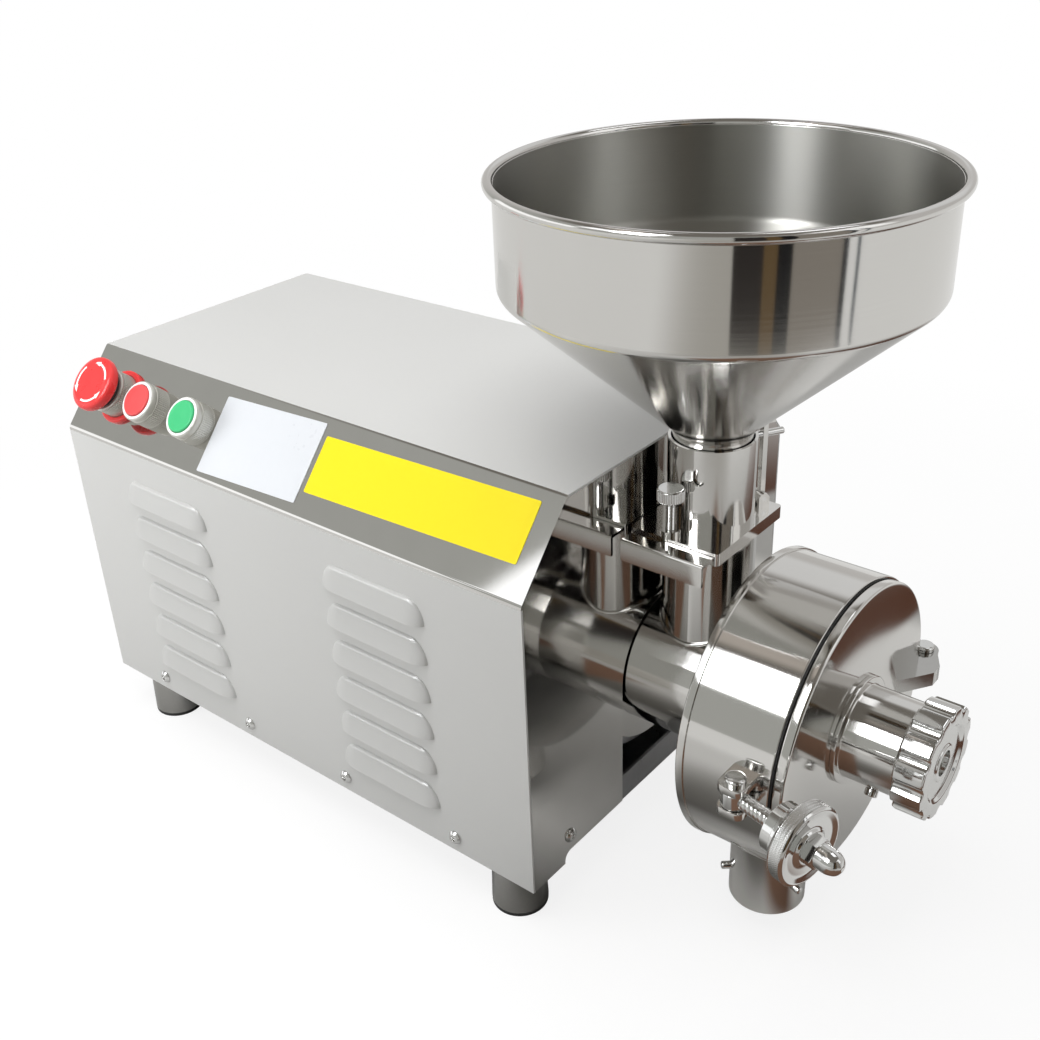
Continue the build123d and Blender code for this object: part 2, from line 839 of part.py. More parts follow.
def lock_lever():
    """Spring strip with a block at its top, on a pivot at its foot."""
    half = lock_width / 2
    inner = lock_radius - lock_thickness / 2
    lever = block(inner, inner + lock_thickness, -half, half, lock_pivot_z, lock_top)
    lever += bar_y(lock_eye_radius - slide_gap, -half, half, lock_radius, lock_pivot_z)
    lever += block(inner, inner + lock_block, -lock_block / 2, lock_block / 2, lock_top - lock_block,
                   lock_top)
    lever -= bar_y(lock_pivot_radius + running_clearance, -lock_width, lock_width, lock_radius,
                   lock_pivot_z)
    lever -= bar_x(lock_pin_radius, inner - lock_thickness, inner + 2 * lock_thickness, 0, lock_pin_z)
    return lock_place() * lever


def lock_pin():
    """Pin through the lever whose tip reaches into the socket's wall."""
    tip = spout_radius + lock_tip_gap
    pin = bar_x(lock_pin_radius, tip, lock_pin_handle, 0, lock_pin_z)
    return lock_place() * fillet(pin.edges().filter_by(GeomType.CIRCLE).sort_by(Axis.X)[-1],
                                 lock_pin_radius / 2)


def lock_pivot():
    """Pivot pin of the lock lever."""
    half = lock_width / 2 + slide_gap + lock_ear
    return lock_place() * bar_y(lock_pivot_radius, -half, half, lock_radius, lock_pivot_z)


def grinding_drum():
    """Drum wall with the hole for the outlet, the hinge lug and the latch lugs."""
    wall = mill_ring(drum_radius, drum_bore, back_end, drum_end)
    lugs = hinge_lug()
    gap = eye_height / 2 + latch_lug_gap
    for low in (latch_z - gap - latch_lug, latch_z + gap):
        lugs += latch_lug_plate(low)
    wall += lugs - mill_ring(drum_bore, 0, back_end, drum_end + overshoot)
    return wall - post(outlet_bore - outlet_step, outlet_low, mill_z - drum_bore / 2, outlet_x, outlet_y)


def drum_back():
    """Back plate of the drum, a little wider than its wall, open to the neck."""
    return mill_ring(drum_radius + drum_edge, neck_bore, drum_start, back_end)


def outlet_pipe():
    """Flour outlet welded under the drum: a socket for a sleeve, with holes for its screws."""
    pipe = post(outlet_radius, outlet_low, mill_z, outlet_x, outlet_y)
    pipe -= mill_ring(drum_radius + weld_gap, 0, back_end, drum_end + overshoot)
    pipe -= post(outlet_bore - outlet_step, outlet_low, mill_z, outlet_x, outlet_y)
    pipe -= post(outlet_bore, outlet_low - overshoot, outlet_low + outlet_socket, outlet_x, outlet_y)
    for angle in outlet_screw_angles:
        pipe -= outlet_place(angle) * bar_x(outlet_screw_radius, outlet_bore - outlet_wall,
                                            outlet_radius + overshoot)
    return pipe


def outlet_place(angle):
    """Place on the outlet pipe's axis at the height of its screws, turned to one of them."""
    return Location((outlet_x, outlet_y, outlet_low + outlet_screw_rise), (0, 0, angle))


def outlet_screws():
    """Screws round the outlet pipe that grip a sleeve pushed into it."""
    start = outlet_bore + running_clearance
    screws = []
    for angle in outlet_screw_angles:
        screw = bar_x(outlet_screw_radius, start, outlet_radius + outlet_screw_reach)
        rim = screw.edges().filter_by(GeomType.CIRCLE).sort_by(Axis.X)[-1]
        screws.append(outlet_place(angle) * fillet(rim, outlet_screw_radius / 2))
    return group(screws)


def hinge_lug():
    """Lug on the rear of the drum under the hinge arm."""
    high = mill_z + arm_low - slide_gap
    low = high - lug_height
    lug = block(lug_start, hinge_x - hinge_boss, drum_bore, hinge_y + hinge_boss, low, high)
    lug += block(lug_start, hinge_x, hinge_y, hinge_y + hinge_boss, low, high)
    lug += post(hinge_boss, low, high, hinge_x, hinge_y)
    return lug - post(hinge_pin_radius + running_clearance, low - overshoot, high + overshoot, hinge_x,
                      hinge_y)


def latch_lug_plate(low):
    """One of the two plates on the front of the drum that hold the swing bolt's pin."""
    high = low + latch_lug
    plate = post(latch_lug_radius, low, high, latch_x, latch_y)
    plate += block(latch_x - latch_lug_radius, latch_x + latch_lug_radius, latch_y, -drum_bore, low, high)
    return plate - post(latch_pin_radius + running_clearance, low - overshoot, high + overshoot, latch_x,
                        latch_y)


def cover_seal():
    """Flat ring in the joint between drum and cover."""
    return mill_ring(drum_bore + seal_width, drum_bore + seal_inset, drum_end, drum_end + seal_thickness)


def chamber_cover():
    """Round door of the drum."""
    cover = mill_ring(cover_radius, carrier_sleeve + hole_clearance * 2, cover_back, cover_face)
    rim = cover.edges().filter_by(GeomType.CIRCLE).sort_by(SortBy.LENGTH)[-2:]
    return fillet(rim, cover_round)


def cover_hub():
    """Hub on the cover that guides the stone carrier and the knob's spindle."""
    cavity = carrier_sleeve + sliding_clearance
    wall = hub_end - hub_end_wall
    bore = spindle_radius + running_clearance
    ring_end = cover_face + hub_ring_length
    hub = mill_turned([(cover_face, cavity), (wall, cavity), (wall, bore), (hub_end, bore),
                       (hub_end, hub_radius), (ring_end, hub_radius), (ring_end, hub_ring_radius),
                       (cover_face, hub_ring_radius)])
    return hub - hub_screw_place() * post(hub_screw_radius + running_clearance, 0, hub_ring_radius)


def hub_screw_place():
    """Place on the mill axis at the hub screw, turned so that +Z points along it."""
    return Pos(hub_screw_x, 0, mill_z) * Rot(hub_screw_angle - 90, 0, 0)


def hub_screw():
    """Screw through the hub whose tip runs in the carrier's slot and stops it turning."""
    tip = carrier_sleeve - hub_screw_tip
    screw = post(hub_screw_radius, tip, hub_radius + hub_screw_proud)
    head = post(hub_screw_head, hub_radius + slide_gap, hub_radius + hub_screw_proud)
    return hub_screw_place() * (screw + fillet(head.edges().filter_by(GeomType.CIRCLE), hub_screw_head / 5))


def stone_carrier():
    """Plate and sleeve that carry the fixed stone and slide in the hub."""
    bore = spindle_radius + slide_gap
    carrier = mill_turned([(carrier_start, bore), (sleeve_end, bore), (sleeve_end, carrier_sleeve),
                           (carrier_end, carrier_sleeve), (carrier_end, carrier_radius),
                           (carrier_start, carrier_radius)])
    half = hub_screw_radius + slide_gap
    slot = block(sleeve_end - slot_length - hub_screw_x, sleeve_end + 1 - hub_screw_x, -half, half,
                 spindle_radius, carrier_sleeve + overshoot)
    return carrier - hub_screw_place() * slot


def fixed_stone():
    """Millstone ring on the carrier."""
    return mill_ring(stone_radius, stone_bore, fixed_face, carrier_start)


def adjusting_knob():
    """Lobed knob with a dished face."""
    outline = Circle(knob_radius)
    centre = knob_radius + knob_scallop - knob_scallop_depth
    outline -= PolarLocations(centre, knob_lobes) * Circle(knob_scallop)
    knob = extrude(Plane.YZ * outline, knob_length)
    rims = knob.edges().filter_by(Plane.YZ)
    knob = Pos(knob_back, 0, mill_z) * fillet(rims, knob_round)
    knob -= mill_ring(knob_recess_radius, 0, knob_face - knob_recess, knob_face + overshoot)
    return knob - mill_ring(spindle_radius, 0, knob_back - overshoot, knob_face + overshoot)


def knob_spindle():
    """Threaded spindle with a thrust collar behind the hub's end wall."""
    wall = hub_end - hub_end_wall
    collar_start = wall - slide_gap - thrust_length
    spindle = bar_x(spindle_radius, cover_back - slide_gap, knob_face - 2 * knob_recess, 0, mill_z)
    return spindle + mill_ring(thrust_radius, 0, collar_start, wall - slide_gap)


def hinge_arm():
    """Triangular arm on the cover's face with the boss of the hinge pin."""
    low = mill_z + arm_low
    crest = cover_face + arm_reach
    outline = make_face(Polyline((cover_face, arm_root), (crest, arm_crest),
                                 (crest, arm_crest + hinge_boss),
                                 (hinge_x + hinge_boss, hinge_y), (cover_face, hinge_y), close=True))
    arm = Pos(0, 0, low) * extrude(outline, arm_height)
    arm += post(hinge_boss, low, low + arm_height, hinge_x, hinge_y)
    arm -= post(hinge_pin_radius + running_clearance, low - overshoot, low + arm_height + overshoot,
                hinge_x, hinge_y)
    return arm


def hinge_pin():
    """Headed pin through the lug and the arm."""
    high = mill_z + arm_low + arm_height + slide_gap
    low = mill_z + arm_low - slide_gap - lug_height - pin_tail
    head = post(pin_head_radius, high, high + pin_head_height, hinge_x, hinge_y)
    head = fillet(head.edges().filter_by(GeomType.CIRCLE).sort_by(Axis.Z)[-1], pin_head_height / 2)
    return head + post(hinge_pin_radius, low, high, hinge_x, hinge_y)


def latch_place():
    """Place of the swing bolt's pivot, turned so that +X runs along the slack bolt."""
    return Location((latch_x, latch_y, latch_z), (0, 0, -latch_slack_angle))


def latch_pin():
    """Headed pin through the latch lugs."""
    reach = eye_height / 2 + latch_lug_gap + latch_lug
    head = post(pin_head_radius, reach, reach + pin_head_height)
    head = fillet(head.edges().filter_by(GeomType.CIRCLE).sort_by(Axis.Z)[-1], pin_head_height / 2)
    return Pos(latch_x, latch_y, latch_z) * (head + post(latch_pin_radius, -reach - pin_tail, reach))


def swing_bolt():
    """Eye bolt that swings on the latch pin."""
    bolt = post(eye_radius, -eye_height / 2, eye_height / 2) + bar_x(bolt_radius, 0, bolt_length)
    bolt -= post(latch_pin_radius + running_clearance, -eye_height, eye_height)
    return latch_place() * bolt


def clamp_washer():
    """Thick washer between the nut and the cover."""
    start, end = washer_start, washer_start + washer_length
    washer = bar_x(washer_radius, start, end)
    washer = chamfer(washer.edges().filter_by(GeomType.CIRCLE), washer_length / 12)
    return latch_place() * (washer - bar_x(bolt_radius + washer_clearance, start - overshoot,
                                           end + overshoot))


def nut_start():
    """Distance of the nut from the pivot, along the bolt."""
    return washer_start + washer_length + slide_gap


def knurled_nut():
    """Round nut with a knurled edge and a dished face."""
    start, end = nut_start(), nut_start() + nut_length
    nut = bar_x(nut_radius, start, end)
    nut = chamfer(nut.edges().filter_by(GeomType.CIRCLE), nut_length / 8)
    return latch_place() * (nut - bar_x(bolt_radius + running_clearance, start - overshoot,
                                        end + overshoot))


def cap_nut():
    """Domed nut locked on the knurled one; the bolt's end runs in its blind bore."""
    start = nut_start() + nut_length
    end = start + cap_length
    cap = hexagon_x(cap_flats, start, start + cap_hex_length, 0, 0)
    dome = bar_x(cap_radius, start, end)
    cap += fillet(dome.edges().filter_by(GeomType.CIRCLE).sort_by(Axis.X)[-1], cap_radius * 0.9)
    return latch_place() * (cap - bar_x(bolt_radius + running_clearance, start - overshoot,
                                        start + cap_bore))


def estop_ring():
    """Flat ring under the emergency stop."""
    ring = post(estop_ring_radius, 0, estop_ring_height)
    ring = fillet(ring.edges().filter_by(GeomType.CIRCLE).sort_by(Axis.Z)[-1], estop_ring_height / 2)
    ring -= post(estop_barrel_radius + hole_clearance, -1, estop_ring_height + overshoot)
    return slope_place(estop_x, estop_rise) * ring


def estop_body():
    """Barrel of the emergency stop with its neck through the panel."""
    floor = estop_press / 10
    bore = estop_plunger_radius + button_clearance
    barrel = upright_turned([(0, -neck_depth), (button_neck, -neck_depth), (button_neck, 0),
                             (estop_barrel_radius, 0), (estop_barrel_radius, estop_barrel_height),
                             (bore, estop_barrel_height), (bore, floor), (0, floor)])
    return slope_place(estop_x, estop_rise) * barrel


def estop_seat():
    """Height of the mushroom head's underside above the panel."""
    return estop_barrel_height + estop_press + button_clearance


def estop_plunger():
    """Plunger that slides in the barrel and carries the mushroom head."""
    low = estop_press + 2 * button_clearance + estop_press / 10
    return slope_place(estop_x, estop_rise) * post(estop_plunger_radius, low, estop_seat())


def estop_head():
    """Mushroom head, pressed to stop and twisted to let go."""
    low = estop_seat() + button_clearance
    edge = low + estop_head_edge
    crown = estop_head_radius - 2 * (estop_head_top - edge)
    head = upright_turned([(0, low), (estop_head_radius, low), (estop_head_radius, edge),
                           (crown, estop_head_top),
                           (0, estop_head_top)])
    rims = head.edges().filter_by(GeomType.CIRCLE)
    return slope_place(estop_x, estop_rise) * fillet(rims, estop_head_edge / 5)


def button_body(x):
    """Barrel of a push button with its neck through the panel."""
    bore = cap_button_radius + button_clearance
    floor = cap_button_press / 10
    body = upright_turned([(0, -neck_depth), (button_neck, -neck_depth), (button_neck, 0),
                           (bezel_radius, 0),
                           (bezel_radius, bezel_height), (bore, bezel_height), (bore, floor), (0, floor)])
    rim = body.edges().filter_by(GeomType.CIRCLE).group_by(Axis.Z)[-1].sort_by(SortBy.LENGTH)[-1]
    return slope_place(x, button_rise) * fillet(rim, button_clearance * 3)


def button_cap(x):
    """Coloured cap of a push button."""
    low = cap_button_press + cap_button_press / 10 + button_clearance
    cap = post(cap_button_radius, low, cap_button_top)
    cap = fillet(cap.edges().filter_by(GeomType.CIRCLE).sort_by(Axis.Z)[-1], button_clearance * 3)
    return slope_place(x, button_rise) * cap


def contact_blocks():
    """Switch blocks on the necks of the three buttons, inside the housing."""
    half, side = block_width / 2, block_length / 2
    box = block(-half, half, -side, side, -neck_depth - block_depth, -neck_depth)
    return group(slope_place(x, rise) * box for x, rise in button_places())


nodes = {
    "housing_cover": housing_cover(),
    "left_end_panel": left_end_panel(),
    "right_end_panel": right_end_panel(),
    "base_tray": base_tray(),
    "foot_cups": foot_cups(),
    "foot_pads": foot_pads(),
    "housing_screws": housing_screws(),
    "cable_gland": cable_gland(),
    "motor_shell": motor_shell(),
    "motor_front_flange": motor_front_flange(),
    "motor_rear_bell": motor_rear_bell(),
    "fan_cowl": fan_cowl(),
    "stator": stator(),
    "motor_saddles": motor_saddles(),
    "shaft_bearings": shaft_bearings(),
    "run_capacitor": run_capacitor(),
    "drive_shaft": drive_shaft(),
    "rotor_core": rotor_core(),
    "cooling_fan": cooling_fan(),
    "feed_auger": feed_auger(),
    "stone_disc": stone_disc(),
    "running_stone": running_stone(),
    "stone_nut": stone_nut(),
    "feed_barrel": feed_barrel(),
    "inlet_flange": inlet_flange(),
    "hopper_socket": hopper_socket(),
    "feed_gate": feed_gate(),
    "thumb_screw": thumb_screw(),
    "hopper": hopper(),
    "lock_lever": lock_lever(),
    "lock_pin": lock_pin(),
    "lock_pivot": lock_pivot(),
    "grinding_drum": grinding_drum(),
    "drum_back": drum_back(),
    "outlet_pipe": outlet_pipe(),
    "outlet_screws": outlet_screws(),
    "cover_seal": cover_seal(),
    "chamber_cover": chamber_cover(),
    "cover_hub": cover_hub(),
    "hub_screw": hub_screw(),
    "hinge_arm": hinge_arm(),
    "hinge_pin": hinge_pin(),
    "stone_carrier": stone_carrier(),
    "fixed_stone": fixed_stone(),
    "adjusting_knob": adjusting_knob(),
    "knob_spindle": knob_spindle(),
    "latch_pin": latch_pin(),
    "swing_bolt": swing_bolt(),
    "clamp_washer": clamp_washer(),
    "knurled_nut": knurled_nut(),
    "cap_nut": cap_nut(),
    "estop_ring": estop_ring(),
    "estop_body": estop_body(),
    "estop_plunger": estop_plunger(),
    "estop_head": estop_head(),
    "stop_body": button_body(stop_x),
    "stop_cap": button_cap(stop_x),
    "start_body": button_body(start_x),
    "start_cap": button_cap(start_x),
    "contact_blocks": contact_blocks(),
}

# The origin is the middle of the footprint, on the ground.
boxes = [solid.bounding_box() for solid in nodes.values()]
middle_x = (min(box.min.X for box in boxes) + max(box.max.X for box in boxes)) / 2
middle_y = (min(box.min.Y for box in boxes) + max(box.max.Y for box in boxes)) / 2
low_z = min(box.min.Z for box in boxes)
print("footprint middle", middle_x, middle_y, "lowest", low_z)

os.makedirs("parts", exist_ok=True)
for name, solid in nodes.items():
    export_step(Pos(-middle_x, -middle_y, 0) * solid, os.path.join("parts", name + ".step"))
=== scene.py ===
import math

import bmesh
import bpy
import numpy as np
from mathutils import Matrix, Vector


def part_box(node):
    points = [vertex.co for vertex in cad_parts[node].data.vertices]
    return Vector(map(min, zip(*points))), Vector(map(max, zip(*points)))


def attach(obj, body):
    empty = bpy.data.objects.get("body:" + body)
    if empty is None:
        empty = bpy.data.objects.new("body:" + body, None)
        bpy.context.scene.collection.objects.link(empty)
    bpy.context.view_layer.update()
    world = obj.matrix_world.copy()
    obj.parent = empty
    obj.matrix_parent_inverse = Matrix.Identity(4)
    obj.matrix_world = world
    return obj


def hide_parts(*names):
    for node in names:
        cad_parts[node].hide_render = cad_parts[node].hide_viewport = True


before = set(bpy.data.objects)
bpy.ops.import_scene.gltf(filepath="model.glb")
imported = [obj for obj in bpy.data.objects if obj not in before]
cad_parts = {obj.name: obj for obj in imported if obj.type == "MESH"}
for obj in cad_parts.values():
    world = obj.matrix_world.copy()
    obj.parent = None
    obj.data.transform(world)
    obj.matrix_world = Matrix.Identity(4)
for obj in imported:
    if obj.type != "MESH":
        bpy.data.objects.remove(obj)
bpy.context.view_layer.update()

# Sizes in millimetres. x runs from the housing's left end, y from the mill axis, z from the ground.

GROUND_GAP = 34.0
SHEET = 1.5
HOUSING_LENGTH = 430.0
HALF_WIDTH = 145.0
HOUSING_HEIGHT = 263.0
SLOPE_FOOT = 212.0
SLOPE_INSET = 44.5
SLOPE_RISE = HOUSING_HEIGHT - SLOPE_FOOT
SLOPE_LENGTH = math.hypot(SLOPE_INSET, SLOPE_RISE)
SHOULDER_FOLD = 2.1
TOP_FOLD = 1.5
MILL_Z = GROUND_GAP + 102.0
MILL_ORIGIN = (0.0, 0.0, MILL_Z)
MILL_AXIS = (1.0, 0.0, 0.0)
INLET_X = 461.5
UP = (0.0, 0.0, 1.0)
METRE = 1000.0

cover_low, cover_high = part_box("housing_cover")
ORIGIN = np.array([cover_low[0], (cover_low[1] + cover_high[1]) / 2, 0.0])


def row_frame(points):
    """Millimetres in the mill's own layout to metres in the row frame."""
    return np.asarray(points, float) / METRE + ORIGIN


# Surfaces

def rounded(corners, closed=True, steps=6):
    """Each corner (a, b, rounding) gives way to a parabola: it leaves the one side and joins the other at
    the distance 'rounding' from the corner, as the quadratic curve whose middle control point is the
    corner."""
    corners = np.asarray(corners, float)
    point = corners[:, :2]
    before = np.roll(point, 1, axis=0) - point
    after = np.roll(point, -1, axis=0) - point
    reach_a = np.linalg.norm(before, axis=1, keepdims=True)
    reach_b = np.linalg.norm(after, axis=1, keepdims=True)
    cut = np.minimum(corners[:, 2:3], 0.49 * np.minimum(reach_a, reach_b))
    start = point + before / reach_a * cut
    end = point + after / reach_b * cut
    if not closed:
        start[0] = end[0] = point[0]
        start[-1] = end[-1] = point[-1]
    t = np.linspace(0.0, 1.0, steps)[None, :, None]
    curve = (1 - t) ** 2 * start[:, None] + 2 * t * (1 - t) * point[:, None] + t ** 2 * end[:, None]
    return curve.reshape(-1, 2)


def fine(profile, step):
    """Profile with extra points, so that no two neighbours are further apart than the step."""
    gap = np.linalg.norm(np.diff(profile, axis=0), axis=1)
    run = np.concatenate([[0.0], np.cumsum(gap)])
    count = np.maximum(np.ceil(gap / step).astype(int), 1)
    dense = np.concatenate([np.linspace(a, b, n, endpoint=False) for a, b, n in zip(run, run[1:], count)])
    dense = np.append(dense, run[-1])
    return np.stack([np.interp(dense, run, profile[:, 0]), np.interp(dense, run, profile[:, 1])], axis=1)


def circle(count):
    """Angles of one turn in even steps."""
    return np.linspace(0.0, 2 * np.pi, count, endpoint=False)


def turned(profile, origin, axis, turns=128, radius=None):
    """Surface of revolution: the profile (along, radius) is carried round the axis; the two parameters are
    the place on the profile and the angle. An optional function of (radius, angle, along) shapes the
    radius."""
    axis = np.asarray(axis, float) / np.linalg.norm(axis)
    side = np.cross(axis, UP if abs(axis[2]) < 0.9 else MILL_AXIS)
    side /= np.linalg.norm(side)
    third = np.cross(axis, side)
    angle = circle(turns)[None, :, None]
    along_axis = profile[:, 0][:, None, None]
    reach = np.broadcast_to(profile[:, 1][:, None, None], (len(profile), turns, 1))
    if radius is not None:
        reach = radius(reach, angle, along_axis)
    round_axis = np.cos(angle) * side + np.sin(angle) * third
    return np.asarray(origin, float) + along_axis * axis + reach * round_axis


def slab(outline, low, high, edge=0.4, steps=3):
    """Flat plate: its closed outline is carried from low to high, drawn in by a quarter circle at both rims
    and a little more on both faces, and drawn together to its middle at the two ends."""
    outline = np.asarray(outline, float)
    ahead = np.roll(outline, -1, axis=0) - np.roll(outline, 1, axis=0)
    inward = np.stack([-ahead[:, 1], ahead[:, 0]], axis=1) / np.linalg.norm(ahead, axis=1, keepdims=True)
    turn = np.linspace(0.0, np.pi / 2, steps)
    inset = edge * (1 - np.sin(turn))
    rise = edge * (1 - np.cos(turn))
    inset = np.concatenate([[1.5 * edge], inset, inset[::-1], [1.5 * edge]])[:, None, None]
    ring = outline[None] + inset * inward[None]
    middle = np.broadcast_to(outline.mean(axis=0), (1,) + outline.shape)
    plan = np.concatenate([middle, ring, middle])
    height = np.concatenate([[low, low], low + rise, high - rise[::-1], [high, high]])
    tall = np.broadcast_to(height[:, None, None], plan.shape[:2] + (1,))
    return np.concatenate([plan, tall], axis=2)


def tube_along(path, radius, sides=10):
    """Round bar along a closed path: a circle in the plane of the path's upright and its level normal."""
    path = np.asarray(path, float)
    run = np.roll(path, -1, axis=0) - np.roll(path, 1, axis=0)
    run /= np.linalg.norm(run, axis=1, keepdims=True)
    level = np.cross(run, UP)
    level /= np.linalg.norm(level, axis=1, keepdims=True)
    upright = np.cross(level, run)
    angle = circle(sides)[:, None, None]
    return path[None] + radius * (np.cos(angle) * level[None] + np.sin(angle) * upright[None])


def grid_quads(grid, wrap_a, wrap_b, keep):
    """Quads between the neighbours of a grid of points, and their UVs: u is the share of the way along the
    second parameter, v the length run along the first in metres."""
    rows, cols = grid.shape[:2]
    a = np.arange(rows if wrap_a else rows - 1)
    b = np.arange(cols if wrap_b else cols - 1)
    a, b = [m.ravel() for m in np.meshgrid(a, b, indexing="ij")]
    if keep is not None:
        chosen = keep(a, b)
        a, b = a[chosen], b[chosen]
    a1, b1 = (a + 1) % rows, (b + 1) % cols
    quads = np.stack([a * cols + b, a1 * cols + b, a1 * cols + b1, a * cols + b1], axis=1)
    middle = grid.mean(axis=1)
    spread = np.linalg.norm(grid - middle[:, None], axis=2).mean(axis=1)
    step = np.linalg.norm(np.diff(middle, axis=0), axis=1) + np.abs(np.diff(spread))
    run = np.concatenate([[0.0], np.cumsum(step), [np.sum(step) + 1.0]]) / METRE
    turn = np.arange(cols + 1) / cols
    uvs = [turn[b], run[a], turn[b], run[a + 1], turn[b + 1], run[a + 1], turn[b + 1], run[a]]
    return quads, np.stack(uvs, axis=1)


def close_mesh(mesh, smooth):
    """Corners that fall together are merged, faces are turned outwards and shaded smooth, and edges steeper
    than the angle 'smooth' in degrees are kept sharp."""
    bm = bmesh.new()
    bm.from_mesh(mesh)
    bmesh.ops.remove_doubles(bm, verts=bm.verts, dist=2e-6)
    bmesh.ops.dissolve_degenerate(bm, edges=bm.edges, dist=1e-6)
    bmesh.ops.recalc_face_normals(bm, faces=bm.faces)
    for face in bm.faces:
        face.smooth = True
    limit = math.radians(smooth)
    for edge in bm.edges:
        edge.smooth = edge.calc_face_angle(0.0) < limit
    bm.to_mesh(mesh)
    bm.free()


def make_piece(name, grids, body, material, nodes=(), keep=None, smooth=40.0):
    """Mesh of one or more grids of points; each grid is (points, closed along the first, closed along the
    second parameter). The function 'keep' chooses quads by their two grid places."""
    points, faces, uvs, base = [], [], [], 0
    for grid, wrap_a, wrap_b in grids:
        quads, marks = grid_quads(grid, wrap_a, wrap_b, keep)
        points.append(grid.reshape(-1, 3))
        faces.append(quads + base)
        uvs.append(marks)
        base += grid.shape[0] * grid.shape[1]
    mesh = bpy.data.meshes.new(name)
    mesh.from_pydata(row_frame(np.concatenate(points)), [], np.concatenate(faces).tolist())
    mesh.uv_layers.new(name="UVMap").data.foreach_set("uv", np.concatenate(uvs).ravel())
    close_mesh(mesh, smooth)
    piece = bpy.data.objects.new(name, mesh)
    bpy.context.scene.collection.objects.link(piece)
    mesh.materials.append(material)
    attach(piece, body)
    if nodes:
        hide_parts(*nodes)
    return piece


def face_vectors(piece):
    """Normal and middle of each face, as two arrays."""
    count = len(piece.data.polygons)
    normal, middle = np.empty(3 * count), np.empty(3 * count)
    piece.data.polygons.foreach_get("normal", normal)
    piece.data.polygons.foreach_get("center", middle)
    return normal.reshape(-1, 3), middle.reshape(-1, 3)


def second_finish(piece, material, chosen):
    """Another finish on the chosen faces of a piece."""
    piece.data.materials.append(material)
    piece.data.polygons.foreach_set("material_index", chosen.astype(np.int32))


# Shader nodes

def add_node(tree, kind, inputs, **settings):
    """New node with its settings; an input gets a link from a socket, and else a colour or value."""
    node = tree.nodes.new(kind)
    for name, value in settings.items():
        setattr(node, name, value)
    for key, value in inputs.items():
        if isinstance(value, bpy.types.NodeSocket):
            tree.links.new(value, node.inputs[key])
        elif node.inputs[key].type == "RGBA":
            node.inputs[key].default_value = (*value, 1.0)
        else:
            node.inputs[key].default_value = value
    return node


def ramp(tree, value, start, end, low=0.0, high=1.0, kind="SMOOTHSTEP"):
    """Socket that goes from low to high while the value goes from start to end."""
    inputs = {"Value": value, "From Min": start, "From Max": end, "To Min": low, "To Max": high}
    return add_node(tree, "ShaderNodeMapRange", inputs, interpolation_type=kind).outputs["Result"]


def reckon(tree, operation, *values):
    """Result of a math node on sockets and numbers."""
    return add_node(tree, "ShaderNodeMath", dict(enumerate(values)), operation=operation).outputs[0]


def blend(tree, factor, below, above):
    """Colour socket that goes from below to above, each a colour or a socket."""
    inputs = {"Factor": factor, "A": below, "B": above}
    return add_node(tree, "ShaderNodeMix", inputs, data_type="RGBA").outputs["Result"]


def along(tree, vector, direction):
    """Part of a direction socket that lies along a fixed direction."""
    inputs = {0: vector, 1: direction}
    return add_node(tree, "ShaderNodeVectorMath", inputs, operation="DOT_PRODUCT").outputs["Value"]


def between(tree, value, limits):
    """Socket that is one between the two middle limits and falls to nothing at the outer ones."""
    low, rise, fall, high = limits
    return reckon(tree, "MULTIPLY", ramp(tree, value, low, rise), ramp(tree, value, high, fall))


def noise(tree, vector, scale, detail):
    """Height of a noise."""
    inputs = {"Vector": vector, "Scale": scale, "Detail": detail}
    return add_node(tree, "ShaderNodeTexNoise", inputs).outputs["Fac"]


def glow(tree, colour):
    """Even emission of a colour or a socket."""
    return add_node(tree, "ShaderNodeEmission", {"Color": colour}).outputs[0]


def mixed(tree, factor, first, second):
    """Two shaders mixed by a factor socket."""
    return add_node(tree, "ShaderNodeMixShader", {0: factor, 1: first, 2: second}).outputs[0]


def new_material(name):
    """Material with nodes, and its node tree."""
    material = bpy.data.materials.new(name)
    material.use_nodes = True
    return material, material.node_tree


# Finishes

PATCHES = 14.0
FLECK_RIM = (0.30, 0.12)


